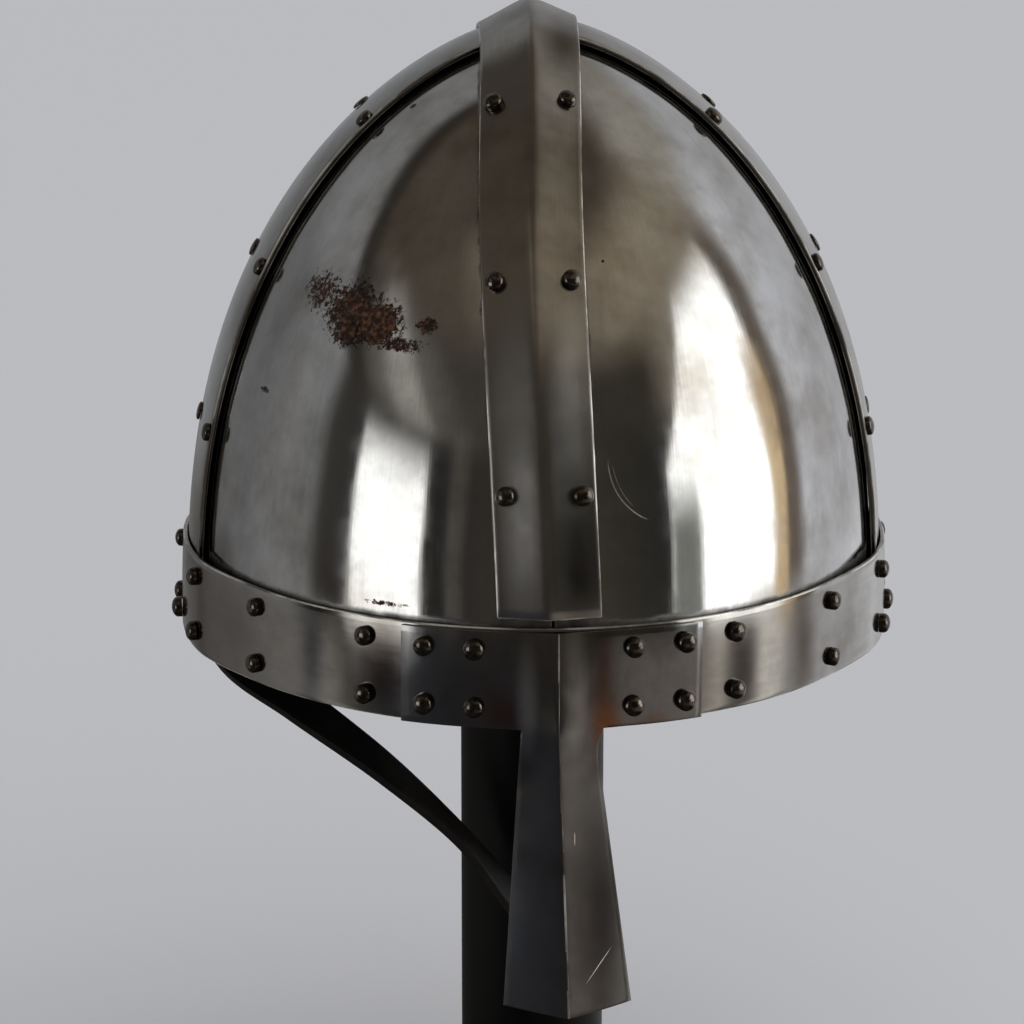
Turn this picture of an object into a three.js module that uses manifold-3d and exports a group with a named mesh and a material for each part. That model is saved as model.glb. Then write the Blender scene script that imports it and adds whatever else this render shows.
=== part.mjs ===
// A riveted nasal helmet on a plain post stand, in millimetres.
// Z is up, the face opening looks along -Y, and left is the -X side.
// The origin is the centre of the stand's underside.

import * as THREE from 'three';
import { mergeVertices } from 'three/addons/utils/BufferGeometryUtils.js';
import Module from 'manifold-3d';

// Gaps between pieces that rest on each other
const SEAT_GAP = 0.3;
const PLATE_SEAM = 1.0;

// Dome: half sizes at the brow line and height of the plates' outer face
const DOME_HALF_WIDTH = 95.0;
const DOME_HALF_DEPTH = 110.0;
const DOME_HEIGHT = 166.6;
const DOME_RISE = 0.785;
const DOME_TAPER = 1.284;
const CROWN_LEAN = 1.0;
const PLATE_WALL = 1.5;
const PLATE_TOP_SHARE = 0.992;

// Ridge band, over the crown from front to back
const RIDGE_WIDTH = 27.0;
const RIDGE_WALL = 1.6;
const RIDGE_CREASE = 3.6;
const RIDGE_END_GAP = 2.3;
const RIDGE_RAMP = 28.0;
const RIDGE_RAMP_START = 2.0;

// Side bands, from the brow up under the ridge band
const SIDE_WIDTH = 29.0;
const SIDE_WALL = 1.6;
const SIDE_STANDOFF = 0.9;
const SIDE_BAND_TUCK = 9.0;
const SIDE_FOOT = 2.0;

// Brow band
const BROW_HEIGHT = 26.0;
const BROW_WALL = 1.2;
const BROW_LIP = 1.0;

// Nasal guard: a T plate on the brow band and a bar below it
const ARM_REACH = 38.8;
const ARM_HEIGHT = 25.4;
const NASAL_WALL = 1.6;
const NASAL_DROP = 75.0;
const NECK_WIDTH = 19.0;
const NASAL_TIP_WIDTH = 33.5;
const NASAL_CREASE = 4.0;
const NASAL_TIP_CREASE = 6.0;
const NASAL_POINT = 1.6;
const NASAL_SHIFT = 1.2;
const NASAL_LEAN = 3.2;

// Rivets
const RIVET_RADIUS = 2.6;
const RIVET_RISE = 2.3;
const RIVET_SHANK = 0.7;
const STRAP_RIVET_SCALE = 1.15;
const BAND_RIVET_SPREAD = 9.6;
const BROW_RIVET_EDGE = 5.3;

// Chin strap
const STRAP_WIDTH = 12.0;
const STRAP_THICKNESS = 2.2;

// Stand
const POST_RADIUS = 20.4;
const BASE_RADIUS = 95.0;
const BASE_THICKNESS = 18.0;
const BASE_CHAMFER = 3.0;
const BROW_ABOVE_BASE = 170.0;
const CAP_RADIUS = 40.0;
const CAP_THICKNESS = 14.0;
const CAP_GAP = 0.6;

// Places that follow from the sizes above
const BROW_FLOOR = BASE_THICKNESS + BROW_ABOVE_BASE;
const SIDE_TOP = SIDE_STANDOFF + SIDE_WALL;
const BROW_INNER = SIDE_TOP + SEAT_GAP;
const BROW_OUTER = BROW_INNER + BROW_WALL;
const GUARD_INNER = BROW_OUTER + SEAT_GAP;
const GUARD_OUTER = GUARD_INNER + NASAL_WALL;
const RIDGE_OVER_SIDE = SIDE_TOP + SEAT_GAP;
const RIDGE_END = BROW_HEIGHT + RIDGE_END_GAP;

// How far the ridge band's middle lies off the dome's middle as it climbs:
// rise is a share of the dome's height, shift a share of the band's width.
const RIDGE_WANDER = [
  { rise: 0.0, shift: -0.01 },
  { rise: 0.17, shift: -0.036 },
  { rise: 0.4, shift: -0.104 },
  { rise: 0.76, shift: -0.173 },
  { rise: 1.0, shift: -0.1 },
];

// The side bands lie a little ahead of the middle lower down:
// rise is a share of the dome's height, ahead a share of the band's width.
const SIDE_WANDER = [
  { rise: 0.0, ahead: 0.55 },
  { rise: 0.35, ahead: 0.5 },
  { rise: 0.63, ahead: 0.4 },
  { rise: 0.85, ahead: 0.17 },
  { rise: 1.0, ahead: 0.0 },
];

// Rivet rows on the ridge and side bands, as shares of the dome's height
const RIDGE_RIVETS = [0.355, 0.66, 0.9];
const SIDE_RIVETS = [0.355, 0.625, 0.855];

// Rivet pairs round the brow band, in degrees from the front middle
const BROW_RIVETS = [29, 51, 72, 94];
const BROW_REAR_RIVETS = [115, 137, 159];

// T plate rivets across, as shares of the arm's reach
const ARM_RIVETS = [-0.85, -0.52, 0.53, 0.88];

// Strap rivets, in degrees from the front middle
const STRAP_RIVET_ANGLE = 85;

// Chin strap route: a loop from the left rivet down behind the nasal and up to the
// right rivet. across, ahead and up are shares of the dome's half width and half
// depth and of the nasal's drop; side, back and top give the way its width points.
const STRAP_ROUTE = [
  { across: -0.944, ahead: 0.055, up: 0.173, side: 0.00, back: 1.00, top: 0.00 },
  { across: -0.943, ahead: 0.068, up: 0.040, side: 0.05, back: 1.00, top: 0.00 },
  { across: -0.882, ahead: 0.127, up: -0.109, side: 0.44, back: 0.70, top: 0.55 },
  { across: -0.695, ahead: 0.200, up: -0.267, side: 0.56, back: 0.53, top: 0.64 },
  { across: -0.467, ahead: 0.245, up: -0.480, side: 0.36, back: 0.82, top: 0.44 },
  { across: -0.358, ahead: 0.259, up: -0.587, side: 0.32, back: 0.88, top: 0.34 },
  { across: -0.221, ahead: 0.273, up: -0.776, side: 0.25, back: 0.94, top: 0.21 },
  { across: -0.082, ahead: 0.282, up: -0.987, side: 0.20, back: 0.96, top: 0.17 },
  { across: -0.011, ahead: 0.282, up: -1.120, side: 0.05, back: 1.00, top: 0.05 },
  { across: 0.047, ahead: 0.282, up: -1.167, side: 0.00, back: 1.00, top: 0.00 },
  { across: 0.100, ahead: 0.282, up: -1.093, side: 0.00, back: 1.00, top: 0.00 },
  { across: 0.111, ahead: 0.282, up: -0.933, side: 0.00, back: 1.00, top: 0.00 },
  { across: 0.089, ahead: 0.282, up: -0.667, side: 0.00, back: 1.00, top: 0.00 },
  { across: 0.084, ahead: 0.282, up: -0.440, side: 0.00, back: 1.00, top: 0.00 },
  { across: 0.137, ahead: 0.291, up: -0.253, side: 0.00, back: 1.00, top: 0.00 },
  { across: 0.337, ahead: 0.291, up: -0.133, side: 0.00, back: 1.00, top: 0.00 },
  { across: 0.611, ahead: 0.245, up: -0.067, side: 0.00, back: 1.00, top: 0.00 },
  { across: 0.842, ahead: 0.164, up: -0.013, side: 0.00, back: 1.00, top: 0.00 },
  { across: 0.943, ahead: 0.068, up: 0.053, side: 0.00, back: 1.00, top: 0.00 },
  { across: 0.944, ahead: 0.055, up: 0.173, side: 0.00, back: 1.00, top: 0.00 },
];

// Fineness of the faceted surfaces
const PLATE_COLUMNS = 10;
const PLATE_ROWS = 14;
const RIDGE_STEPS = 46;
const RIDGE_LANES = 4;
const SIDE_STEPS = 20;
const SIDE_LANES = 3;
const BROW_STEPS = 72;
const BROW_LANES = 2;
const STRAP_STEPS = 64;
const RIVET_SIDES = 10;
const RIVET_RINGS = 2;
const POST_SIDES = 32;
const BASE_SIDES = 64;
const CAP_RINGS = 5;
const CAP_CROWN_ANGLE = 0.05;

// Search and merge settings
const DRAPE_REACH = 25.0;
const DRAPE_HALVINGS = 40;
const NORMAL_STEP = 1e-3;
const MERGE_GAP = 1e-4;
const STEEP_FROM_SHARE = 0.5;

const wasm = await Module();
wasm.setup();

const STEEL = { color: 0x8b8c8c, roughness: 0.28, metalness: 1.0 };
const BAND_STEEL = { color: 0x7d7e7c, roughness: 0.32, metalness: 1.0 };
const RIVET_STEEL = { color: 0x4a4a48, roughness: 0.3, metalness: 1.0 };
const LEATHER = { color: 0x17130f, roughness: 0.65, metalness: 0.0 };
const STAND_PAINT = { color: 0x121213, roughness: 0.6, metalness: 0.0 };

const helmet = new THREE.Group();
helmet.position.set(0, 0, BROW_FLOOR);
const stand = new THREE.Group();

function addMesh(group, name, geometry, finish) {
  const mesh = new THREE.Mesh(geometry, new THREE.MeshStandardMaterial(finish));
  mesh.name = name;
  group.add(mesh);
  return mesh;
}

function smoothStep(share) {
  const x = Math.min(Math.max(share, 0), 1);
  return x * x * (3 - 2 * x);
}

// A smooth value between the rows of a table
function tableValue(rows, key, column) {
  const places = rows.map((row) => row[key]);
  const values = rows.map((row) => row[column]);
  const curve = new THREE.CubicInterpolant(places, values, 1);
  return (place) => curve.evaluate(THREE.MathUtils.clamp(place, 0, 1))[0];
}

const ridgeShift = tableValue(RIDGE_WANDER, 'rise', 'shift');
const sideAhead = tableValue(SIDE_WANDER, 'rise', 'ahead');

// The dome's half-width share at a height, 1 at the brow and 0 at the crown
function domeShare(z) {
  const s = THREE.MathUtils.clamp(z / DOME_HEIGHT, 0, 1);
  return Math.pow(Math.max(1 - Math.pow(s, 2 / DOME_RISE), 0), DOME_TAPER / 2);
}

// The plates' outer face at a climb angle and a turn from the front middle
function domePoint(climb, turn) {
  const share = Math.pow(Math.cos(climb), DOME_TAPER);
  return new THREE.Vector3(
    DOME_HALF_WIDTH * share * Math.sin(turn),
    -DOME_HALF_DEPTH * share * Math.cos(turn),
    DOME_HEIGHT * Math.pow(Math.sin(climb), DOME_RISE),
  );
}

function climbAt(z) {
  return Math.asin(Math.pow(THREE.MathUtils.clamp(z / DOME_HEIGHT, 0, 1), 1 / DOME_RISE));
}

function domeNormal(climb, turn) {
  const c = Math.max(Math.cos(climb), 1e-6);
  const s = Math.max(Math.sin(climb), 1e-3);
  const rise = DOME_RISE * Math.pow(s, DOME_RISE - 1) * c;
  const taper = DOME_TAPER * Math.pow(c, DOME_TAPER - 1) * s;
  return new THREE.Vector3(
    DOME_HALF_DEPTH * DOME_HEIGHT * rise * Math.sin(turn),
    -DOME_HALF_WIDTH * DOME_HEIGHT * rise * Math.cos(turn),
    DOME_HALF_WIDTH * DOME_HALF_DEPTH * taper,
  ).normalize();
}

// The climb and turn of a point on the dome
function domeAngles(point) {
  const turn = Math.atan2(point.x / DOME_HALF_WIDTH, -point.y / DOME_HALF_DEPTH);
  const share = Math.hypot(point.x / DOME_HALF_WIDTH, point.y / DOME_HALF_DEPTH);
  const steep = Math.acos(Math.min(Math.pow(share, 1 / DOME_TAPER), 1));
  const climb = point.z < STEEP_FROM_SHARE * DOME_HEIGHT ? climbAt(point.z) : steep;
  return { climb, turn };
}

// Slides a point inward along a direction until it meets the dome
function drape(start, inward) {
  let near = 0;
  let far = DRAPE_REACH;
  const probe = new THREE.Vector3();
  for (let step = 0; step < DRAPE_HALVINGS; step += 1) {
    const middle = (near + far) / 2;
    probe.copy(start).addScaledVector(inward, middle);
    const share = Math.hypot(probe.x / DOME_HALF_WIDTH, probe.y / DOME_HALF_DEPTH);
    const outside = probe.z > DOME_HEIGHT || share > domeShare(probe.z);
    if (outside) {
      near = middle;
    } else {
      far = middle;
    }
  }
  return start.clone().addScaledVector(inward, near);
}

// The hand-made dome leans a little sideways towards its crown
function lean(point) {
  point.x += (CROWN_LEAN * point.z) / DOME_HEIGHT;
  return point;
}

// A closed solid from a grid of cells between an outer and an inner skin.
// Cells that keep() refuses are left out, and every free edge gets a wall.
function skinSolid(columns, rows, outer, inner, keep = () => true, around = false) {
  const width = around ? columns : columns + 1;
  const size = width * (rows + 1);
  const places = [];
  for (const skin of [outer, inner]) {
    for (let j = 0; j <= rows; j += 1) {
      for (let i = 0; i < width; i += 1) {
        const point = skin(i, j);
        places.push(point.x, point.y, point.z);
      }
    }
  }
  const at = (i, j, layer) => layer * size + j * width + (i % width);
  const inside = (i, j) => {
    const column = around ? (i + columns) % columns : i;
    return column >= 0 && column < columns && j >= 0 && j < rows && keep(column, j);
  };
  const faces = [];
  const quad = (a, b, c, d) => faces.push(a, b, c, a, c, d);
  for (let j = 0; j < rows; j += 1) {
    for (let i = 0; i < columns; i += 1) {
      if (!inside(i, j)) {
        continue;
      }
      quad(at(i, j, 0), at(i + 1, j, 0), at(i + 1, j + 1, 0), at(i, j + 1, 0));
      quad(at(i, j, 1), at(i, j + 1, 1), at(i + 1, j + 1, 1), at(i + 1, j, 1));
      if (!inside(i, j - 1)) {
        quad(at(i, j, 0), at(i, j, 1), at(i + 1, j, 1), at(i + 1, j, 0));
      }
      if (!inside(i, j + 1)) {
        quad(at(i, j + 1, 0), at(i + 1, j + 1, 0), at(i + 1, j + 1, 1), at(i, j + 1, 1));
      }
      if (!inside(i - 1, j)) {
        quad(at(i, j, 0), at(i, j + 1, 0), at(i, j + 1, 1), at(i, j, 1));
      }
      if (!inside(i + 1, j)) {
        quad(at(i + 1, j, 0), at(i + 1, j, 1), at(i + 1, j + 1, 1), at(i + 1, j + 1, 0));
      }
    }
  }
  const geometry = new THREE.BufferGeometry();
  geometry.setAttribute('position', new THREE.Float32BufferAttribute(places, 3));
  geometry.setIndex(faces);
  return dropUnused(geometry);
}

// Keeps only the vertices that a face uses, so a masked grid stays one body
function dropUnused(geometry) {
  return mergeVertices(geometry.toNonIndexed(), MERGE_GAP);
}

// Quarter plate between two seams: sideSign -1 is left, frontSign -1 is the front
function plateGeometry(sideSign, frontSign) {
  const topClimb = climbAt(PLATE_TOP_SHARE * DOME_HEIGHT);
  const skin = (offset) => (i, j) => {
    const climb = Math.max((topClimb * j) / PLATE_ROWS, 1e-3);
    const share = Math.pow(Math.cos(climb), DOME_TAPER);
    const half = PLATE_SEAM / 2;
    const first = Math.asin(half / (DOME_HALF_WIDTH * share));
    const last = Math.acos(half / (DOME_HALF_DEPTH * share));
    const quarter = first + ((last - first) * i) / PLATE_COLUMNS;
    const turn = frontSign < 0 ? sideSign * quarter : sideSign * (Math.PI - quarter);
    const point = domePoint(climb, turn);
    point.addScaledVector(domeNormal(climb, turn), offset);
    if (j === 0) {
      point.z = BROW_LIP;
    }
    return lean(point);
  };
  const outer = skin(0);
  const inner = skin(-PLATE_WALL);
  const swap = sideSign * frontSign > 0;
  return swap
    ? skinSolid(PLATE_COLUMNS, PLATE_ROWS, inner, outer)
    : skinSolid(PLATE_COLUMNS, PLATE_ROWS, outer, inner);
}

for (const [frontName, frontSign] of [['front', -1], ['back', 1]]) {
  for (const [sideName, sideSign] of [['left', -1], ['right', 1]]) {
    addMesh(helmet, `plate_${frontName}_${sideName}`, plateGeometry(sideSign, frontSign), STEEL);
  }
}

// A point of the ridge band: along runs 0 to 1 from front over the crown to the
// back, across runs -1 to 1 over its width, and depth is measured off the dome.
function ridgePoint(along, across, depth) {
  const startClimb = climbAt(RIDGE_END);
  const sweep = startClimb + along * (Math.PI - 2 * startClimb);
  const front = sweep <= Math.PI / 2;
  const climb = front ? sweep : Math.PI - sweep;
  const turn = front ? 0 : Math.PI;
  const safeClimb = Math.min(climb, Math.PI / 2 - 1e-4);
  const middle = domePoint(safeClimb, turn);
  const normal = domeNormal(safeClimb, turn);
  const fade = front ? 1 : 1 - smoothStep(2 * along - 1);
  const shift = RIDGE_WIDTH * ridgeShift(middle.z / DOME_HEIGHT) * fade;
  const start = middle.clone();
  start.x = shift + (across * RIDGE_WIDTH) / 2;
  const rest = drape(start, normal.clone().negate());
  const pastSideBand = Math.abs(rest.y) - SIDE_WIDTH / 2;
  const lift = 1 - smoothStep((pastSideBand - RIDGE_RAMP_START) / RIDGE_RAMP);
  const seat = THREE.MathUtils.lerp(SEAT_GAP, RIDGE_OVER_SIDE, lift);
  const crease = RIDGE_CREASE * (1 - Math.abs(across));
  return lean(rest.addScaledVector(normal, seat + depth + crease));
}

function ridgeGeometry() {
  const acrossAt = (i) => (2 * i) / RIDGE_LANES - 1;
  const skin = (depth) => (i, j) => ridgePoint(j / RIDGE_STEPS, acrossAt(i), depth);
  return skinSolid(RIDGE_LANES, RIDGE_STEPS, skin(RIDGE_WALL), skin(0));
}

// The side bands' run, from the brow to where they end under the ridge band
const SIDE_START_CLIMB = climbAt(SIDE_FOOT);
const SIDE_END_SHARE = (RIDGE_WIDTH / 2 - SIDE_BAND_TUCK) / DOME_HALF_WIDTH;
const SIDE_CLIMB = Math.acos(Math.pow(SIDE_END_SHARE, 1 / DOME_TAPER)) - SIDE_START_CLIMB;

// A point of a side band: along runs 0 to 1 from the brow to the crown
function sidePoint(sideSign, along, across, depth) {
  const climb = SIDE_START_CLIMB + along * SIDE_CLIMB;
  const turn = (sideSign * Math.PI) / 2;
  const middle = domePoint(climb, turn);
  const normal = domeNormal(climb, turn);
  const start = middle.clone();
  start.y = -SIDE_WIDTH * sideAhead(middle.z / DOME_HEIGHT) + (across * SIDE_WIDTH) / 2;
  const rest = drape(start, normal.clone().negate());
  const { climb: restClimb, turn: restTurn } = domeAngles(rest);
  rest.addScaledVector(domeNormal(restClimb, restTurn), SIDE_STANDOFF + depth);
  return lean(rest);
}

function sideGeometry(sideSign) {
  const acrossAt = (i) => sideSign * ((2 * i) / SIDE_LANES - 1);
  const skin = (depth) => (i, j) => sidePoint(sideSign, j / SIDE_STEPS, acrossAt(i), depth);
  return skinSolid(SIDE_LANES, SIDE_STEPS, skin(SIDE_WALL), skin(0));
}

// A point a little off the dome's lower wall: the brow band's and guard's family
function browPoint(turn, z, offset) {
  const share = domeShare(Math.max(z, 0));
  return new THREE.Vector3(
    (DOME_HALF_WIDTH * share + offset) * Math.sin(turn),
    -(DOME_HALF_DEPTH * share + offset) * Math.cos(turn),
    z,
  );
}

function browGeometry() {
  const skin = (offset) => (i, j) => {
    const turn = (2 * Math.PI * i) / BROW_STEPS;
    return lean(browPoint(turn, (BROW_HEIGHT * j) / BROW_LANES, offset));
  };
  const all = () => true;
  return skinSolid(BROW_STEPS, BROW_LANES, skin(BROW_OUTER), skin(BROW_INNER), all, true);
}

// The front face of the guard at a place across and a height, offset off the dome
function guardPoint(x, z, offset, crease) {
  const share = domeShare(Math.max(z, 0));
  const halfWidth = DOME_HALF_WIDTH * share + offset;
  const halfDepth = DOME_HALF_DEPTH * share + offset;
  const turn = Math.asin(THREE.MathUtils.clamp(x / halfWidth, -1, 1));
  return new THREE.Vector3(x, -halfDepth * Math.cos(turn) - crease, z);
}

// Columns of the guard: -1 to 1 is the creased bar, beyond that the arms.
// Rows are shares: 1 to 0 down the arms' height, 0 to -1 down the bar's drop.
const GUARD_COLUMNS = [-4, -3, -2, -1, -0.5, 0, 0.5, 1, 2, 3, 4];
const GUARD_ROWS = [1, 0.5, 0, -0.05, -0.12, -0.3, -0.53, -0.76, -1];
const LAST_COLUMN = GUARD_COLUMNS[GUARD_COLUMNS.length - 1];

function guardSurface(column, row, offset) {
  const z = row > 0 ? row * ARM_HEIGHT : row * NASAL_DROP;
  const down = Math.max(-row, 0);
  const flare = THREE.MathUtils.lerp(NECK_WIDTH, NASAL_TIP_WIDTH, down) / 2;
  const middle = NASAL_SHIFT + NASAL_LEAN * down;
  const side = Math.sign(column);
  const part = Math.abs(column);
  const armShare = Math.max(part - 1, 0) / (LAST_COLUMN - 1);
  const barX = middle + side * Math.min(part, 1) * flare;
  const x = THREE.MathUtils.lerp(barX, side * ARM_REACH, armShare);
  const creaseHeight = THREE.MathUtils.lerp(NASAL_CREASE, NASAL_TIP_CREASE, down);
  const crease = creaseHeight * Math.max(1 - part, 0);
  const point = guardPoint(x, z, offset, crease);
  if (row === -1) {
    point.z -= NASAL_POINT * Math.max(1 - part, 0);
  }
  return point;
}

function guardGeometry() {
  const columns = GUARD_COLUMNS.length - 1;
  const rows = GUARD_ROWS.length - 1;
  const skin = (offset) => (i, j) =>
    lean(guardSurface(GUARD_COLUMNS[i], GUARD_ROWS[rows - j], offset));
  const keep = (i, j) => {
    const onBar = GUARD_COLUMNS[i] >= -1 && GUARD_COLUMNS[i + 1] <= 1;
    const onArms = GUARD_ROWS[rows - j] >= 0 && GUARD_ROWS[rows - j - 1] >= 0;
    return onBar || onArms;
  };
  return skinSolid(columns, rows, skin(GUARD_OUTER), skin(GUARD_INNER), keep);
}

// A domed rivet head standing on the XY plane
function rivetGeometry(scale, sink) {
  const profile = [new THREE.Vector2(0, -sink), new THREE.Vector2(RIVET_RADIUS * scale, -sink)];
  const shank = RIVET_SHANK * scale;
  for (let ring = 0; ring <= RIVET_RINGS; ring += 1) {
    const angle = (ring / RIVET_RINGS) * (Math.PI / 2);
    const radius = ring === RIVET_RINGS ? 0 : RIVET_RADIUS * scale * Math.cos(angle);
    profile.push(new THREE.Vector2(radius, shank + (RIVET_RISE * scale - shank) * Math.sin(angle)));
  }
  const geometry = new THREE.LatheGeometry(profile, RIVET_SIDES);
  geometry.rotateX(Math.PI / 2);
  return geometry;
}

// Turns and moves a rivet so that it stands on a surface point
function seatRivet(geometry, place, outward, gap) {
  const turn = new THREE.Quaternion().setFromUnitVectors(new THREE.Vector3(0, 0, 1), outward);
  geometry.applyQuaternion(turn);
  const seat = place.clone().addScaledVector(outward, gap);
  geometry.translate(seat.x, seat.y, seat.z);
  return geometry;
}

// The outward normal of a surface given by two numbers
function surfaceNormal(surface, a, b) {
  const alongA = surface(a + NORMAL_STEP, b).sub(surface(a - NORMAL_STEP, b));
  const alongB = surface(a, b + NORMAL_STEP).sub(surface(a, b - NORMAL_STEP));
  const normal = alongA.cross(alongB).normalize();
  const place = surface(a, b);
  const away = new THREE.Vector3(place.x, place.y, Math.max(place.z, 0));
  return normal.dot(away) < 0 ? normal.negate() : normal;
}

function addRivet(name, surface, a, b, scale = 1) {
  const place = surface(a, b);
  const outward = surfaceNormal(surface, a, b);
  const geometry = seatRivet(rivetGeometry(scale, 0), place, outward, SEAT_GAP);
  addMesh(helmet, name, geometry, RIVET_STEEL);
}

function toManifold(geometry) {
  const bare = new THREE.BufferGeometry();
  bare.setAttribute('position', geometry.getAttribute('position').clone());
  if (geometry.index) {
    bare.setIndex(geometry.index.clone());
  }
  const merged = mergeVertices(bare, MERGE_GAP);
  return new wasm.Manifold(new wasm.Mesh({
    numProp: 3,
    vertProperties: new Float32Array(merged.getAttribute('position').array),
    triVerts: new Uint32Array(merged.index.array),
  }));
}

function fromManifold(solid) {
  const mesh = solid.getMesh();
  const geometry = new THREE.BufferGeometry();
  geometry.setAttribute('position', new THREE.BufferAttribute(mesh.vertProperties, 3));
  geometry.setIndex(new THREE.BufferAttribute(mesh.triVerts, 1));
  return geometry;
}

// Rivets at the back are one with their band
function fuseRivets(geometry, seats) {
  let solid = toManifold(geometry);
  for (const { surface, a, b } of seats) {
    const outward = surfaceNormal(surface, a, b);
    const head = seatRivet(rivetGeometry(1, RIVET_SHANK), surface(a, b), outward, 0);
    solid = solid.add(toManifold(head));
  }
  return fromManifold(solid);
}

// The share of the ridge band's run at a height, on the front half
function ridgeAlong(heightShare) {
  const startClimb = climbAt(RIDGE_END);
  return (climbAt(heightShare * DOME_HEIGHT) - startClimb) / (Math.PI - 2 * startClimb);
}

const ridgeFace = (along, across) => ridgePoint(along, across, RIDGE_WALL);
const ridgeSpread = (2 * BAND_RIVET_SPREAD) / RIDGE_WIDTH;
const ridgeRearSeats = [];
for (const height of RIDGE_RIVETS) {
  for (const side of [-1, 1]) {
    ridgeRearSeats.push({ surface: ridgeFace, a: 1 - ridgeAlong(height), b: side * ridgeSpread });
  }
}
addMesh(helmet, 'ridge_band', fuseRivets(ridgeGeometry(), ridgeRearSeats), BAND_STEEL);

const browFace = (turn, z) => lean(browPoint(turn, z, BROW_OUTER));
const browRivetHeights = { low: BROW_RIVET_EDGE, high: BROW_HEIGHT - BROW_RIVET_EDGE };
const browRearSeats = [];
for (const degrees of BROW_REAR_RIVETS) {
  for (const side of [-1, 1]) {
    for (const z of Object.values(browRivetHeights)) {
      browRearSeats.push({ surface: browFace, a: side * THREE.MathUtils.degToRad(degrees), b: z });
    }
  }
}
addMesh(helmet, 'brow_band', fuseRivets(browGeometry(), browRearSeats), BAND_STEEL);

addMesh(helmet, 'side_band_left', sideGeometry(-1), BAND_STEEL);
addMesh(helmet, 'side_band_right', sideGeometry(1), BAND_STEEL);
addMesh(helmet, 'nasal_guard', guardGeometry(), BAND_STEEL);

RIDGE_RIVETS.forEach((height, row) => {
  for (const [sideName, side] of [['left', -1], ['right', 1]]) {
    addRivet(`ridge_rivet_${sideName}_${row + 1}`, ridgeFace, ridgeAlong(height), side * ridgeSpread);
  }
});

SIDE_RIVETS.forEach((height, row) => {
  for (const [sideName, side] of [['left', -1], ['right', 1]]) {
    const face = (along, across) => sidePoint(side, along, across, SIDE_WALL);
    const along = (climbAt(height * DOME_HEIGHT) - SIDE_START_CLIMB) / SIDE_CLIMB;
    for (const [edgeName, edge] of [['front', -1], ['back', 1]]) {
      const across = (edge * 2 * BAND_RIVET_SPREAD) / SIDE_WIDTH;
      addRivet(`side_rivet_${sideName}_${edgeName}_${row + 1}`, face, along, across);
    }
  }
});

BROW_RIVETS.forEach((degrees, pair) => {
  for (const [sideName, side] of [['left', -1], ['right', 1]]) {
    for (const [levelName, z] of Object.entries(browRivetHeights)) {
      const turn = side * THREE.MathUtils.degToRad(degrees);
      addRivet(`brow_rivet_${sideName}_${levelName}_${pair + 1}`, browFace, turn, z);
    }
  }
});

const guardFace = (x, z) => lean(guardPoint(x, z, GUARD_OUTER, 0));
ARM_RIVETS.forEach((share, place) => {
  for (const [levelName, z] of Object.entries(browRivetHeights)) {
    addRivet(`guard_rivet_${levelName}_${place + 1}`, guardFace, share * ARM_REACH, z);
  }
});

for (const [sideName, side] of [['left', -1], ['right', 1]]) {
  const turn = side * THREE.MathUtils.degToRad(STRAP_RIVET_ANGLE);
  addRivet(`strap_rivet_${sideName}`, browFace, turn, BROW_RIVET_EDGE, STRAP_RIVET_SCALE);
}

// The strap is a flat ribbon whose width turns as it hangs
function strapGeometry() {
  const points = STRAP_ROUTE.map((row) => new THREE.Vector3(
    row.across * DOME_HALF_WIDTH,
    -row.ahead * DOME_HALF_DEPTH,
    row.up * NASAL_DROP,
  ));
  const widths = STRAP_ROUTE.map((row) => new THREE.Vector3(row.side, row.back, row.top));
  const route = new THREE.CatmullRomCurve3(points, false, 'centripetal');
  const turning = new THREE.CatmullRomCurve3(widths, false, 'centripetal');
  const corner = (along, across, depth) => {
    const share = along / STRAP_STEPS;
    const place = route.getPoint(share);
    const tangent = route.getTangent(share);
    const wide = turning.getPoint(share);
    wide.addScaledVector(tangent, -wide.dot(tangent)).normalize();
    const thick = new THREE.Vector3().crossVectors(tangent, wide);
    place.addScaledVector(wide, (across * STRAP_WIDTH) / 2);
    return place.addScaledVector(thick, (depth * STRAP_THICKNESS) / 2);
  };
  const face = (depth) => (i, j) => corner(j, i * 2 - 1, depth);
  return skinSolid(1, STRAP_STEPS, face(-1), face(1));
}

addMesh(helmet, 'chin_strap', strapGeometry(), LEATHER);

// Stand: a round base, a round post and a cap that carries the crown
function latheSolid(profile, sides) {
  const geometry = new THREE.LatheGeometry(profile.map(([r, z]) => new THREE.Vector2(r, z)), sides);
  geometry.rotateX(Math.PI / 2);
  return geometry;
}

const capRimClimb = Math.acos(Math.pow(CAP_RADIUS / DOME_HALF_DEPTH, 1 / DOME_TAPER));

// A point of the cap's top, which follows the inside of the plates
function capPoint(turn, share) {
  const crownClimb = Math.PI / 2 - CAP_CROWN_ANGLE;
  const climb = THREE.MathUtils.lerp(capRimClimb, crownClimb, share);
  const point = domePoint(climb, turn);
  point.addScaledVector(domeNormal(climb, turn), -PLATE_WALL - CAP_GAP);
  lean(point);
  point.z += BROW_FLOOR;
  return point;
}

const CAP_FLOOR = capPoint(0, 0).z - CAP_THICKNESS;

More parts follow.
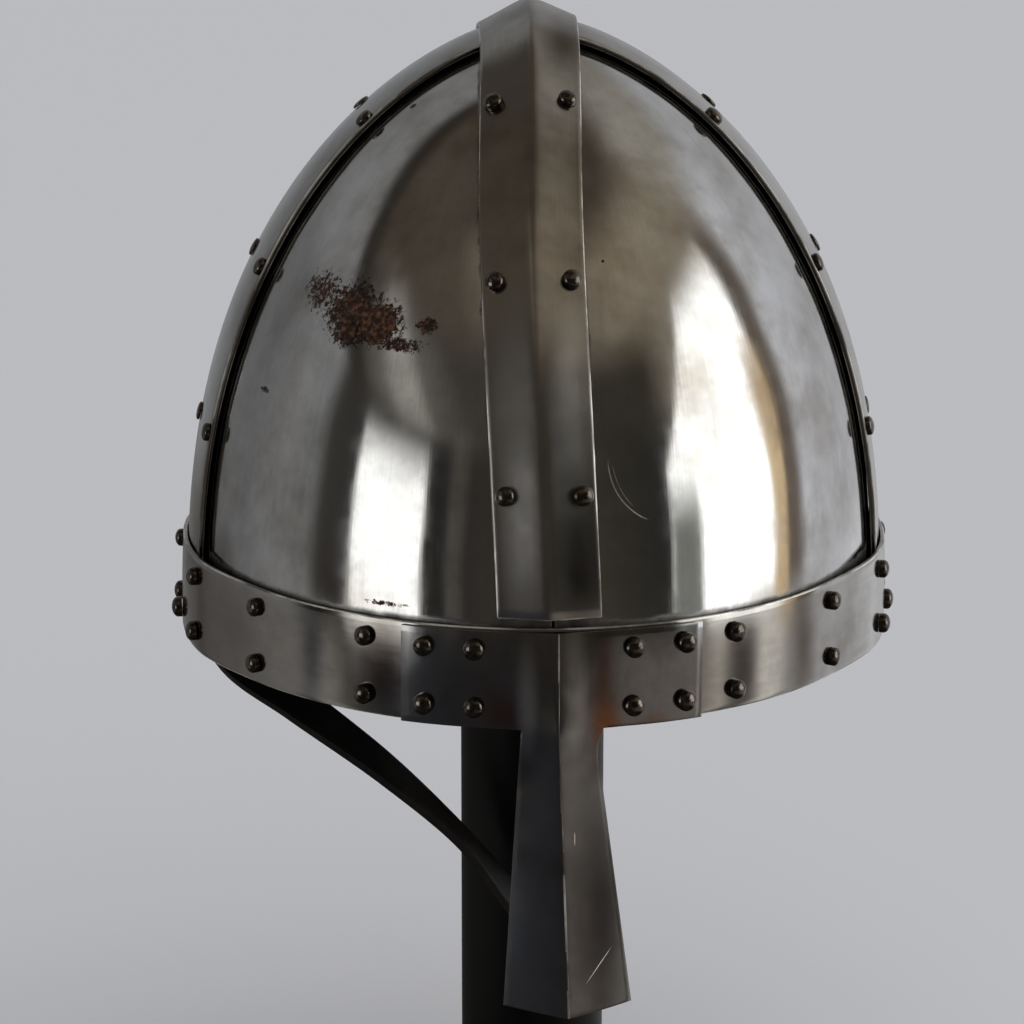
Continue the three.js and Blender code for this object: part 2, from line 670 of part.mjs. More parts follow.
function capGeometry() {
  const corners = [];
  const turnAt = (i) => (2 * Math.PI * i) / POST_SIDES;
  const footAt = (i) => capPoint(turnAt(i), 0).setZ(CAP_FLOOR);
  const topAt = (i, j) => capPoint(turnAt(i), j / CAP_RINGS);
  const crown = lean(new THREE.Vector3(0, 0, topAt(0, CAP_RINGS).z));
  const floorCentre = new THREE.Vector3(0, 0, CAP_FLOOR);
  for (let i = 0; i < POST_SIDES; i += 1) {
    const next = (i + 1) % POST_SIDES;
    for (let j = 0; j < CAP_RINGS; j += 1) {
      corners.push(topAt(i, j), topAt(next, j), topAt(next, j + 1));
      corners.push(topAt(i, j), topAt(next, j + 1), topAt(i, j + 1));
    }
    corners.push(topAt(i, CAP_RINGS), topAt(next, CAP_RINGS), crown);
    corners.push(footAt(i), footAt(next), topAt(next, 0));
    corners.push(footAt(i), topAt(next, 0), topAt(i, 0));
    corners.push(footAt(next), footAt(i), floorCentre);
  }
  return mergeVertices(new THREE.BufferGeometry().setFromPoints(corners), MERGE_GAP);
}

addMesh(stand, 'stand_cap', capGeometry(), STAND_PAINT);
addMesh(stand, 'stand_post', latheSolid([
  [0, BASE_THICKNESS + SEAT_GAP],
  [POST_RADIUS, BASE_THICKNESS + SEAT_GAP],
  [POST_RADIUS, CAP_FLOOR - SEAT_GAP],
  [0, CAP_FLOOR - SEAT_GAP],
], POST_SIDES), STAND_PAINT);
addMesh(stand, 'stand_base', latheSolid([
  [0, 0],
  [BASE_RADIUS, 0],
  [BASE_RADIUS, BASE_THICKNESS - BASE_CHAMFER],
  [BASE_RADIUS - BASE_CHAMFER, BASE_THICKNESS],
  [0, BASE_THICKNESS],
], BASE_SIDES), STAND_PAINT);

const model = new THREE.Group();
model.add(stand, helmet);
model.updateMatrixWorld(true);

export default model;
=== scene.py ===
# %% [markdown]
# # A riveted nasal helmet on its post stand
# The helmet is sheet steel: four dome plates, bands over their seams, a ring round the
# brow and a creased guard over the nose, all held by domed rivets. The frame holds the
# same pieces as faceted solids. Polished steel mirrors every facet, so here each piece
# is bent again from a fine sheet, by the same rules and sizes as the solids.

# %% Start from the frame
import math
import random

import bpy
from mathutils import Matrix, Quaternion, Vector, noise


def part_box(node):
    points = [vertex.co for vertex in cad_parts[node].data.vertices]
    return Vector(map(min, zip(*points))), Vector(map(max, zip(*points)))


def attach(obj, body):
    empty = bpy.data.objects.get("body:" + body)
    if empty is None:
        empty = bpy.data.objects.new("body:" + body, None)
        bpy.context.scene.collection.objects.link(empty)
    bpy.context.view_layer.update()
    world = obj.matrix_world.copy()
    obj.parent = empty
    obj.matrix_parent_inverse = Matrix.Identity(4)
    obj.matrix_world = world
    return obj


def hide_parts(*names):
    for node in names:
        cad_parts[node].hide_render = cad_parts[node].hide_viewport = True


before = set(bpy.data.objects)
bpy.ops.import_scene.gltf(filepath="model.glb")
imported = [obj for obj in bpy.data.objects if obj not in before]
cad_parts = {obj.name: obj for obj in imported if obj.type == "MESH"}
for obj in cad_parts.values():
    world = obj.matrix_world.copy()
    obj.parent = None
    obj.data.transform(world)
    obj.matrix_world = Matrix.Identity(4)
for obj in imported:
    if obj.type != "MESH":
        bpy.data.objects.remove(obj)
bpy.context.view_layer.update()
random.seed(11)

# %% [markdown]
# ## Sizes
# All sizes are millimetres in the helmet's own frame: z is 0 at the brow band's lower
# edge, the face looks along -Y, and left is -X. A last step lifts each piece onto the
# stand and turns millimetres to metres.

# %% Sizes of the helmet
MM = 0.001
BROW_FLOOR = 188.0
SEAT_GAP = 0.3
HALF_WIDTH = 95.0
HALF_DEPTH = 110.0
HEIGHT = 166.6
RISE = 0.785
TAPER = 1.284
CROWN_LEAN = 1.0
PLATE_WALL = 1.5
PLATE_SEAM = 1.0
PLATE_FOOT = 1.0
PLATE_TOP_SHARE = 0.992
BAND_WALL = 1.6
RIDGE_WIDTH = 27.0
RIDGE_CREASE = 3.0
RIDGE_END = 28.3
RIDGE_RAMP = 28.0
RIDGE_RAMP_START = 2.0
SIDE_WIDTH = 29.0
SIDE_STANDOFF = 0.9
SIDE_TUCK = 9.0
SIDE_FOOT = 2.0
BROW_HEIGHT = 26.0
BROW_WALL = 1.2
BROW_OUTER = SIDE_STANDOFF + BAND_WALL + SEAT_GAP + BROW_WALL
GUARD_OUTER = BROW_OUTER + SEAT_GAP + BAND_WALL
RIDGE_LIFT = SIDE_STANDOFF + BAND_WALL + SEAT_GAP

# How far the ridge band wanders off the middle: share of the height, share of its width
RIDGE_WANDER = [(0.0, -0.01), (0.17, -0.036), (0.4, -0.104), (0.76, -0.173), (1.0, -0.1)]
# How far the side bands lie ahead of the middle: share of the height, share of their width
SIDE_WANDER = [(0.0, 0.55), (0.35, 0.5), (0.63, 0.4), (0.85, 0.17), (1.0, 0.0)]

# %% Curves through short tables
def cubic(t, start, leave, end, arrive):
    """From start to end as t runs from 0 to 1; leave and arrive are the slopes there."""
    return ((2 * t**3 - 3 * t**2 + 1) * start + (t**3 - 2 * t**2 + t) * leave
            + (3 * t**2 - 2 * t**3) * end + (t**3 - t**2) * arrive)


def through(rows):
    """A smooth curve through (place, value) rows: its slope is the mean of its neighbours'."""
    slopes = [(b[1] - a[1]) / (b[0] - a[0]) for a, b in zip(rows, rows[1:])]
    ends = [slopes[0]] + [(a + b) / 2 for a, b in zip(slopes, slopes[1:])] + [slopes[-1]]

    def value(place):
        place = min(max(place, rows[0][0]), rows[-1][0])
        i = max(k for k in range(len(rows) - 1) if rows[k][0] <= place)
        (start, low), (end, high) = rows[i:i + 2]
        run = end - start
        return cubic((place - start) / run, low, run * ends[i], high, run * ends[i + 1])

    return value


def smooth_step(share):
    share = min(max(share, 0.0), 1.0)
    return share * share * (3 - 2 * share)


ridge_shift = through(RIDGE_WANDER)
side_ahead = through(SIDE_WANDER)
print("ridge band's shift at mid height:", round(RIDGE_WIDTH * ridge_shift(0.5), 2), "mm")

# %% [markdown]
# ## The dome that everything is bent over
# The dome is an ellipse in plan and a pointed arch from the side. climb is 0 at the brow
# and a quarter turn at the crown, and turn runs round the head from the face. A smith
# bends each sheet over such a form, so every piece asks these functions where to lie.

# %% The dome's shape
def dome_share(z):
    level = min(max(z / HEIGHT, 0.0), 1.0)
    return max(1 - level ** (2 / RISE), 0.0) ** (TAPER / 2)


def climb_at(z):
    return math.asin(min(max(z / HEIGHT, 0.0), 1.0) ** (1 / RISE))


def dome_point(climb, turn):
    share = math.cos(climb) ** TAPER
    return Vector((HALF_WIDTH * share * math.sin(turn),
                   -HALF_DEPTH * share * math.cos(turn),
                   HEIGHT * math.sin(climb) ** RISE))


def dome_normal(climb, turn):
    c = max(math.cos(climb), 1e-6)
    s = max(math.sin(climb), 1e-3)
    rise = RISE * s ** (RISE - 1) * c
    taper = TAPER * c ** (TAPER - 1) * s
    return Vector((HALF_DEPTH * HEIGHT * rise * math.sin(turn),
                   -HALF_WIDTH * HEIGHT * rise * math.cos(turn),
                   HALF_WIDTH * HALF_DEPTH * taper)).normalized()


DRAPE_REACH = 25.0
DRAPE_HALVINGS = 26


def drape(start, inward):
    """Slides a point inward along a direction until it meets the dome."""
    near, far = 0.0, DRAPE_REACH
    for _ in range(DRAPE_HALVINGS):
        middle = (near + far) / 2
        probe = start + inward * middle
        share = math.hypot(probe.x / HALF_WIDTH, probe.y / HALF_DEPTH)
        if probe.z > HEIGHT or share > dome_share(probe.z):
            near = middle
        else:
            far = middle
    return start + inward * near


def lean(point):
    return point + Vector((CROWN_LEAN * point.z / HEIGHT, 0, 0))


def in_frame(point):
    """From the helmet's millimetres to the frame's metres."""
    return Vector((point.x, point.y, point.z + BROW_FLOOR)) * MM


print("dome half width at mid height:", round(HALF_WIDTH * dome_share(HEIGHT / 2), 1), "mm")

# %% [markdown]
# ## Colours and nodes
# One function turns an sRGB hex colour to the linear numbers that shaders use, and one
# adds a node with its settings and its inputs. The short ones after it name the nodes
# that come up most: sums, ranges, noises, and mixes of colours and of numbers.

# %% Material helpers
def colour(hex_code):
    parts = [int(hex_code[i:i + 2], 16) / 255 for i in (1, 3, 5)]
    linear = [p / 12.92 if p <= 0.04045 else ((p + 0.055) / 1.055) ** 2.4 for p in parts]
    return (*linear, 1.0)


def feed(tree, node, inputs):
    """Fills inputs, each with a value or with another node's output."""
    for key, value in inputs.items():
        if isinstance(value, bpy.types.NodeSocket):
            tree.links.new(value, node.inputs[key])
        else:
            node.inputs[key].default_value = value


def put(tree, kind, settings=None, inputs=None):
    node = tree.nodes.new("ShaderNode" + kind)
    for key, value in (settings or {}).items():
        setattr(node, key, value)
    feed(tree, node, inputs or {})
    return node


def maths(tree, operation, *values):
    node = put(tree, "Math", {"operation": operation}, dict(enumerate(values)))
    return node.outputs[0]


def ranged(tree, value, start, end, low=0.0, high=1.0, kind="SMOOTHSTEP"):
    """low where value is at start, and high where it is at end."""
    return put(tree, "MapRange", {"interpolation_type": kind},
               {"Value": value, "From Min": start, "From Max": end,
                "To Min": low, "To Max": high}).outputs[0]


def blend(tree, share, first, second, kind="MIX"):
    """A second colour laid over the first by a share."""
    return put(tree, "Mix", {"data_type": "RGBA", "blend_type": kind},
               {0: share, 6: first, 7: second}).outputs[2]


def between(tree, share, first, second):
    """A number between two, by a share."""
    return put(tree, "Mix", None, {0: share, 2: first, 3: second}).outputs[0]


def grain(tree, coords, size_mm, detail, roughness=0.5):
    """Noise whose grain is about this many millimetres."""
    return put(tree, "TexNoise", None,
               {"Vector": coords, "Scale": 1000.0 / size_mm, "Detail": detail,
                "Roughness": roughness}).outputs[0]


def stops(tree, value, rows):
    """Colours along a value, from (place, colour) rows."""
    ramp = put(tree, "ValToRGB", None, {0: value})
    elements = ramp.color_ramp.elements
    while len(elements) < len(rows):
        elements.new(1.0)
    for element, (place, shade) in zip(elements, rows):
        element.position = place
    for element, (place, shade) in zip(elements, rows):
        element.color = colour(shade)
    return ramp.outputs[0]


def new_material(name):
    material = bpy.data.materials.new(name)
    material.use_nodes = True
    tree = material.node_tree
    tree.nodes.clear()
    shader = put(tree, "BsdfPrincipled")
    put(tree, "OutputMaterial", None, {"Surface": shader.outputs[0]})
    return material, tree, shader


def on_piece(tree):
    return put(tree, "TexCoord").outputs["Object"]


def raise_by(tree, shader, height, strength, distance):
    """A fine relief, whose depth is a distance in metres."""
    bump = put(tree, "Bump", None,
               {"Height": height, "Strength": strength, "Distance": distance})
    feed(tree, shader, {"Normal": bump.outputs[0]})


def spot(tree, coords, centre, radii, turn=(0.0, 0.0, 0.0), soft=0.35):
    """1 inside an ellipsoid on the helmet, fading to 0 at its skin. Sizes in mm."""
    local = put(tree, "Mapping", {"vector_type": "TEXTURE"},
                {"Vector": coords, "Location": in_frame(Vector(centre)), "Rotation": turn,
                 "Scale": Vector(radii) * MM})
    far = put(tree, "VectorMath", {"operation": "LENGTH"}, {0: local.outputs[0]})
    return ranged(tree, far.outputs["Value"], 1.0, 1.0 - soft)


# A scratch fades out this far behind its centre in mm, and past this share of its reach
SCRATCH_DEPTH = (20.0, 10.0)
SCRATCH_FULL = 0.6


def scratch(tree, coords, centre, radius, start, end, width):
    """1 along a thin arc that faces front, about a centre in mm, from start to end degrees."""
    local = put(tree, "Mapping", {"vector_type": "TEXTURE"},
                {"Vector": coords, "Location": in_frame(Vector(centre)), "Scale": (MM, MM, MM)})
    x, y, z = put(tree, "SeparateXYZ", None, {0: local.outputs[0]}).outputs
    flat = put(tree, "CombineXYZ", None, {0: x, 2: z}).outputs[0]
    far = put(tree, "VectorMath", {"operation": "LENGTH"}, {0: flat}).outputs["Value"]
    off = maths(tree, "ABSOLUTE", maths(tree, "SUBTRACT", far, radius))
    middle, reach = math.radians((start + end) / 2), math.radians((end - start) / 2)
    angle = maths(tree, "ARCTAN2", z, x)
    bent = maths(tree, "ABSOLUTE", maths(tree, "SUBTRACT", angle, middle))
    share = 1.0
    for value, outer, inner in ((off, width, 0.0), (bent, reach, reach * SCRATCH_FULL),
                                (y, *SCRATCH_DEPTH)):
        share = maths(tree, "MULTIPLY", share, ranged(tree, value, outer, inner))
    return share


print("helpers ready")

# %% [markdown]
# ## Steel
# The plates are mild steel sheet, ground and hand polished, and left bare. The eye sees a
# grey mirror with a slight blur, hairlines from the polishing cloth, a brown film where
# fingers and damp have been, painted shade along the bands and a patch of rust. The bands
# are the same sheet, less polished: the ridge band is the dullest, the brow and ridge bands
# carry painted reflections, and the nose guard keeps brown tints from heat beside painted
# highlights and a painted dark reflection.

# %% Steel materials
# Grain in mm, and the noise values between which film, mottling, rust and the painted band shade
# come in
FILM_MM, FILM_FROM = 42, (0.42, 0.78)
MOTTLE_MM, MOTTLE_FROM = 7, (0.35, 0.7)
RUST_SPECK_MM, RUST_SHADE_MM = 1.35, 1.3
RUST_STAIN, RUST_EATEN = (0.86, 1.0), (0.97, 1.08)
BAND_SHADE_MM, BAND_SHADE_FROM = 6, (0.62, 1.15)
# How film, mottling and hairlines change the steel's shade and its roughness
MOTTLE_SHADE, HAIR_SHADE = (1.04, 0.9), (0.95, 1.03)
HAIR_BLUR, FILM_BLUR = (0.025, -0.02), 0.05
HAIR_RELIEF = (0.2, 0.00002)
RUST_ROUGH, SCRATCH_ROUGH, LINE_ROUGH, BAND_SHADE_ROUGH = 0.85, 0.45, 0.5, 0.7
RUST_COLOURS = [(0.3, "#120b08"), (0.5, "#2b1911"), (0.72, "#65442f")]
BAND_SHADE_COLOUR, SCRATCH_COLOUR, LINE_COLOUR = "#191512", "#d8d5cf", "#f2f0ec"


def hairlines(tree, along, across):
    """Hairlines that follow the sheet: noise stretched along the piece's UV map."""
    uv = put(tree, "UVMap", {"uv_map": "UVMap"})
    stretched = put(tree, "Mapping", None,
                    {"Vector": uv.outputs[0], "Scale": (across, along, 1.0)})
    return put(tree, "TexNoise", None,
               {"Vector": stretched.outputs[0], "Scale": 1.0, "Detail": 3.0,
                "Roughness": 0.6}).outputs[0]


def clouds(tree, coords, size_mm, low, high, detail=4.0):
    """Noise of one grain, spread so that low becomes 0 and high becomes 1."""
    return ranged(tree, grain(tree, coords, size_mm, detail, 0.6), low, high)


def rust_field(tree, coords, patches):
    """A soft field, one hump per patch, broken into specks by a fine noise."""
    field = None
    for centre, radii, weight in patches:
        hump = maths(tree, "MULTIPLY", spot(tree, coords, centre, radii, soft=0.9), weight)
        field = hump if field is None else maths(tree, "MAXIMUM", field, hump)
    return maths(tree, "ADD", field, grain(tree, coords, RUST_SPECK_MM, 4.0, 0.75))


def steel(name, clean, film, roughness, hairs, shade_bands=False, rust=(), pits=(), tints_and_reflections=(),
          arcs=(), lines=()):
    material, tree, shader = new_material(name)
    coords = on_piece(tree)
    feed(tree, shader, {"Metallic": 1.0})

    # Brown film in soft clouds, and mottling where the cloth lifted it
    film_share = clouds(tree, coords, FILM_MM, *FILM_FROM)
    mottle = clouds(tree, coords, MOTTLE_MM, *MOTTLE_FROM, 6.0)
    base = blend(tree, film_share, colour(clean), colour(film))
    fleck = ranged(tree, mottle, 0.0, 1.0, *MOTTLE_SHADE, "LINEAR")
    base = blend(tree, 1.0, base, fleck, "MULTIPLY")

    # Hairlines darken and roughen the steel a little, and film blurs it
    hair = hairlines(tree, *hairs)
    hair_shade = ranged(tree, hair, 0.3, 0.7, *HAIR_SHADE, "LINEAR")
    base = blend(tree, 1.0, base, hair_shade, "MULTIPLY")
    rough = ranged(tree, hair, 0.25, 0.75, *(roughness + blur for blur in HAIR_BLUR), "LINEAR")
    for blur in (film_share, mottle):
        rough = maths(tree, "MULTIPLY_ADD", blur, FILM_BLUR, rough)

    # Patches of colour: heat tints, and painted reflections and highlights, dark and bright, that
    # stand in for the room mirrored in the steel
    for centre, radii, patch_tone, strength in tints_and_reflections:
        share = maths(tree, "MULTIPLY", spot(tree, coords, centre, radii, soft=1.0), strength)
        base = blend(tree, share, base, colour(patch_tone))

    # Rust stains the steel, and where it has eaten in it is rough and no metal
    if rust:
        field = rust_field(tree, coords, rust)
        stained = ranged(tree, field, *RUST_STAIN)
        eaten = ranged(tree, field, *RUST_EATEN)
        rust_colour = stops(tree, grain(tree, coords, RUST_SHADE_MM, 3.0), RUST_COLOURS)
        base = blend(tree, stained, base, rust_colour)
        rough = between(tree, eaten, rough, RUST_ROUGH)
        feed(tree, shader, {"Metallic": maths(tree, "SUBTRACT", 1.0, eaten)})

    for centre, radii, shade in pits:
        base = blend(tree, spot(tree, coords, centre, radii, soft=0.5), base, colour(shade))

    # Scratches are bright and rough: long arcs, and short straight lines
    for arc in arcs:
        mark = scratch(tree, coords, *arc)
        base = blend(tree, mark, base, colour(SCRATCH_COLOUR))
        rough = between(tree, mark, rough, SCRATCH_ROUGH)
    for line in lines:
        mark = spot(tree, coords, *line)
        base = blend(tree, mark, base, colour(LINE_COLOUR))
        rough = between(tree, mark, rough, LINE_ROUGH)

    # Painted shade under the bands' edges: dark and a little rough, from the mesh attribute and
    # broken by noise
    if shade_bands:
        painted = put(tree, "Attribute", {"attribute_name": "band_shade"}).outputs["Fac"]
        band_shade = maths(tree, "MULTIPLY_ADD", grain(tree, coords, BAND_SHADE_MM, 4.0), 0.5, painted)
        band_shade = ranged(tree, band_shade, *BAND_SHADE_FROM)
        base = blend(tree, band_shade, base, colour(BAND_SHADE_COLOUR))
        rough = between(tree, band_shade, rough, BAND_SHADE_ROUGH)

    feed(tree, shader, {"Base Color": base, "Roughness": rough})
    raise_by(tree, shader, hair, *HAIR_RELIEF)
    return material


# Each patch of rust: its centre and half sizes in mm, and how thick it lies
RUST = [
    ((-58.0, -56.0, 103.5), (16.0, 22.0, 13.0), 0.5),
    ((-49.5, -66.5, 100.0), (22.0, 22.0, 17.0), 0.6),
    ((-43.8, -74.5, 98.3), (17.0, 20.0, 13.0), 0.64),
    ((-51.5, -70.5, 95.5), (12.0, 14.0, 9.0), 0.62),
    ((-38.5, -81.0, 94.0), (18.0, 16.0, 4.4), 0.55),
    ((-31.2, -82.0, 99.0), (6.5, 7.0, 4.6), 0.58),
    ((-73.6, -51.6, 76.2), (6.0, 7.0, 1.8), 0.52),
    ((-44.0, -97.5, 29.3), (26.0, 9.0, 1.7), 0.51),
]
PITS = [
    ((-33.4, -24.6, 147.7), (1.4, 1.4, 1.2), "#0c0a09"),
    ((14.3, -78.7, 114.9), (0.5, 0.8, 0.5), "#1a1210"),
]
# Each arc: its centre and radius in mm, its start and end in degrees, its width in mm
PLATE_ARCS = [
    ((31.7, -101.0, 68.0), 17.3, -185.0, -108.0, 0.28),
    ((34.0, -101.0, 69.0), 18.6, -176.0, -130.0, 0.1),
]
# Heat tints, and painted reflections and highlights: centre and half sizes in mm, colour,
# strength
# On the guard: a painted dark reflection down the bar, brown heat tints by the neck, and painted
# highlights and a pale painted reflection near the fold
GUARD_TINTS_AND_REFLECTIONS = [
    ((14.5, -118.0, -46.0), (15.0, 18.0, 56.0), "#2f2b2a", 0.95),
    ((12.6, -111.0, 11.0), (5.4, 14.0, 30.0), "#5c4032", 0.8),
    ((13.6, -111.0, 1.5), (6.5, 13.0, 9.0), "#8d5a34", 0.75),
    ((-12.0, -112.0, 4.0), (10.0, 12.0, 8.0), "#6d4033", 0.6),
    ((26.3, -108.0, 0.5), (6.0, 10.0, 3.5), "#8a5a38", 0.5),
    ((5.0, -113.0, 13.0), (5.0, 10.0, 24.0), "#f0f0ee", 0.95),
    ((-6.6, -111.0, 8.0), (4.4, 10.0, 20.0), "#e4e7ee", 0.95),
    ((-9.5, -119.0, -52.0), (3.0, 9.0, 26.0), "#b4b8c2", 0.5),
]
# On the brow band: painted reflections, dark grey and brownish, of the room's dark parts
BROW_REFLECTIONS = [
    ((-62.0, -86.0, 12.0), (7.5, 12.0, 38.0), "#39373a", 0.85),
    ((-43.5, -100.0, 11.0), (11.0, 13.0, 24.0), "#4c413b", 0.9),
    ((-83.0, -56.0, 12.0), (17.0, 27.0, 28.0), "#77716b", 0.7),
    ((50.0, -95.0, 11.0), (8.0, 11.0, 22.0), "#5a5856", 0.8),
    ((68.0, -79.0, 12.0), (7.0, 11.0, 24.0), "#564b43", 0.8),
]
# On the ridge band: painted dark reflections low in front and at the crown, and painted
# highlights down its front
RIDGE_REFLECTIONS = [
    ((6.4, -111.0, 41.0), (10.0, 18.0, 25.0), "#45403d", 0.85),
    ((6.5, -22.0, 163.0), (11.0, 26.0, 12.0), "#3a322b", 0.95),
    ((6.5, -99.0, 84.0), (9.0, 20.0, 34.0), "#f0f2f6", 0.9),
    ((-8.0, -107.0, 50.0), (9.0, 16.0, 30.0), "#e6e6e8", 0.7),
]
# Each short line: its centre, its half sizes in mm and its turn
GUARD_LINES = [
    ((12.7, -118.0, -62.4), (0.14, 6.0, 8.0), (0.0, 0.657, 0.0)),
    ((5.4, -120.0, -28.4), (0.16, 6.0, 2.4), (0.0, 0.0, 0.0)),
]
BAND_TONES = ("#a3a2a0", "#746f68")
plate_steel = steel("polished mild steel", "#b9babb", "#938f89", 0.065, (10.0, 170.0),
                    shade_bands=True, rust=RUST, pits=PITS, arcs=PLATE_ARCS)
band_steel = steel("brushed mild steel", *BAND_TONES, 0.1, (14.0, 40.0))
brow_steel = steel("mild steel with painted reflections", *BAND_TONES, 0.1, (14.0, 40.0), tints_and_reflections=BROW_REFLECTIONS)
ridge_steel = steel("dull brushed mild steel", *BAND_TONES, 0.19, (14.0, 60.0),
                    tints_and_reflections=RIDGE_REFLECTIONS)
guard_steel = steel("brushed mild steel with heat tint and painted reflections", "#8c8c8e", "#5f5c5a", 0.12,
                    (22.0, 60.0), tints_and_reflections=GUARD_TINTS_AND_REFLECTIONS, lines=GUARD_LINES)

# %% Worn edges with a painted highlight, rivets
# Handling keeps sheet edges bright: fine crossed scratches scatter light like pale paint.
# Their pale colour is also a painted highlight, the thin bright line that an edge catches
edge_wear_and_highlight, tree, shader = new_material("worn steel edge with painted highlight")
wear_and_highlight_share = clouds(tree, on_piece(tree), 24, 0.4, 0.62)
shade = stops(tree, wear_and_highlight_share, [(0.0, "#6c6a66"), (1.0, "#dfddd8")])
feed(tree, shader, {"Base Color": shade, "Metallic": 0.75, "Roughness": 0.38})

# Rivets are hot-blackened iron with polished crowns
rivet_steel, tree, shader = new_material("blackened iron")
speckle = grain(tree, on_piece(tree), 1.4, 3.0)
shade = stops(tree, speckle, [(0.3, "#3a3633"), (0.7, "#6c6762")])
rough = ranged(tree, speckle, 0.0, 1.0, 0.08, 0.22, "LINEAR")
feed(tree, shader, {"Base Color": shade, "Metallic": 1.0, "Roughness": rough})
print("steel materials ready")

# %% [markdown]
# ## Leather and painted wood
# The strap is black bridle leather: nearly black, with a fine pebbled grain and a dull
# shine on its edges. The stand is wood under thin black paint, so the grain still shows
# as faint ridges up the post.

# %% Leather and paint
leather, tree, shader = new_material("black bridle leather")
coords = on_piece(tree)
pebbles = put(tree, "TexVoronoi", None,
              {"Vector": coords, "Scale": 1000.0 / 1.1}).outputs["Distance"]
shade = stops(tree, grain(tree, coords, 9, 5.0), [(0.35, "#0b0a0a"), (0.7, "#1e1b19")])
feed(tree, shader, {"Base Color": shade, "Roughness": 0.52})
raise_by(tree, shader, pebbles, 0.4, 0.00025)

paint, tree, shader = new_material("black paint on turned wood")
upright = put(tree, "Mapping", None,
              {"Vector": on_piece(tree), "Scale": (1.0, 1.0, 0.05)})
ridges = grain(tree, upright.outputs[0], 3, 5.0)
shade = stops(tree, ridges, [(0.3, "#050505"), (0.75, "#0b0a0a")])
feed(tree, shader, {"Base Color": shade, "Roughness": 0.5, "Specular IOR Level": 0.15})
raise_by(tree, shader, ridges, 0.3, 0.0002)
print("leather and paint ready")

# %% [markdown]
# ## Bending sheet metal
# A smith cuts a flat sheet, bends it over a form and files its edges. Blender's bend
# tool needs a window, so the sheet is a grid whose points are laid on the form by a
# function, as a shrinkwrap would do. Solidify then gives it its wall and Bevel the filed
# edge, and the bevel's own faces take the paler steel of a worn edge, which also paints
# the edge's highlight.

# %% A helper for sheets
EDGE_MM = 0.4
EDGE_ANGLE = math.radians(50)
SMOOTH_ANGLE = math.radians(40)


def alone(piece):
    """Makes one object the only one that operators act on."""
    bpy.ops.object.select_all(action="DESELECT")
    piece.select_set(True)
    bpy.context.view_layer.objects.active = piece


def mode(kind):
    bpy.ops.object.mode_set(mode=kind)


def pick(action):
    bpy.ops.mesh.select_all(action=action)


def finish_modifiers(piece):
    alone(piece)
    for modifier in list(piece.modifiers):
        bpy.ops.object.modifier_apply(modifier=modifier.name)


def bent_sheet(name, columns, rows, lay, wall, finishes, cut=None, highlight_and_wear=None, ring=False,
               middle=False, edge=EDGE_MM):
    """A flat grid, cut, laid out by lay(u, v) and given a wall inward of that face.
    finishes holds the sheet's material and that of its worn places and filed edge, whose paler
    steel also paints their highlight."""
    bpy.ops.mesh.primitive_grid_add(x_subdivisions=columns, y_subdivisions=rows, size=1)
    sheet = bpy.context.object
    sheet.name = sheet.data.name = name
    for finish in finishes:
        sheet.data.materials.append(finish)
    if cut:
        mode("EDIT")
        bpy.ops.mesh.select_mode(type="FACE")
        pick("DESELECT")
        mode("OBJECT")
        for face in sheet.data.polygons:
            face.select = cut(face.center.x + 0.5, face.center.y + 0.5)
        mode("EDIT")
        bpy.ops.mesh.delete(type="FACE")
        mode("OBJECT")
    if highlight_and_wear:
        for face in sheet.data.polygons:
            face.material_index = int(highlight_and_wear(face.center.x + 0.5, face.center.y + 0.5))
    for point in sheet.data.vertices:
        point.co = in_frame(lay(point.co.x + 0.5, point.co.y + 0.5))
    mode("EDIT")
    pick("SELECT")
    if ring:
        bpy.ops.mesh.remove_doubles(threshold=1e-6)
    sheet.update_from_editmode()
    away = sum(face.normal.dot(Vector((face.center.x, face.center.y, 0.0)) + Vector((0, 0, 0.01)))
               for face in sheet.data.polygons)
    if away < 0:
        bpy.ops.mesh.flip_normals()
    mode("OBJECT")
    walls = sheet.modifiers.new("wall", "SOLIDIFY")
    walls.thickness = wall * MM
    walls.offset = 0 if middle else -1
    walls.use_even_offset = True
    if edge:
        filed = sheet.modifiers.new("filed edge", "BEVEL")
        filed.width = edge * MM
        filed.segments = 2
        filed.limit_method = "ANGLE"
        filed.angle_limit = EDGE_ANGLE
        filed.material = 1
    finish_modifiers(sheet)
    bpy.ops.object.shade_smooth_by_angle(angle=SMOOTH_ANGLE)
    print(name, len(sheet.data.polygons), "faces")
    return sheet


def ripple(point, size, height):
    """Hand work leaves a sheet slightly uneven: waves of one size and height in mm."""
    return height * noise.noise(point / size)


# %% [markdown]
# ## The four dome plates
# Each plate fills a quarter between the bands. Its outer face is the dome itself, with
# waves of up to a fifth of a millimetre that make the windows' reflections wander.

# %% Plates
PLATE_GRID = (80, 104)
# Waves in the hammered sheet: length and height, mm
LONG_WAVE = (38.0, 0.22)
SHORT_WAVE = (14.0, 0.05)
WAVE_SINK = 0.12


def plate_lay(side, front):
    def lay(u, v):
        climb = max(v * climb_at(PLATE_TOP_SHARE * HEIGHT), 1e-3)
        share = math.cos(climb) ** TAPER
        first = math.asin(PLATE_SEAM / 2 / (HALF_WIDTH * share))
        last = math.acos(PLATE_SEAM / 2 / (HALF_DEPTH * share))
        quarter = first + u * (last - first)
        turn = side * quarter if front < 0 else side * (math.pi - quarter)
        point = dome_point(climb, turn)
        wave = ripple(point, *LONG_WAVE) + ripple(point, *SHORT_WAVE) - WAVE_SINK
        point += dome_normal(climb, turn) * wave
        if v == 0:
            point.z = PLATE_FOOT
        return lean(point)
    return lay


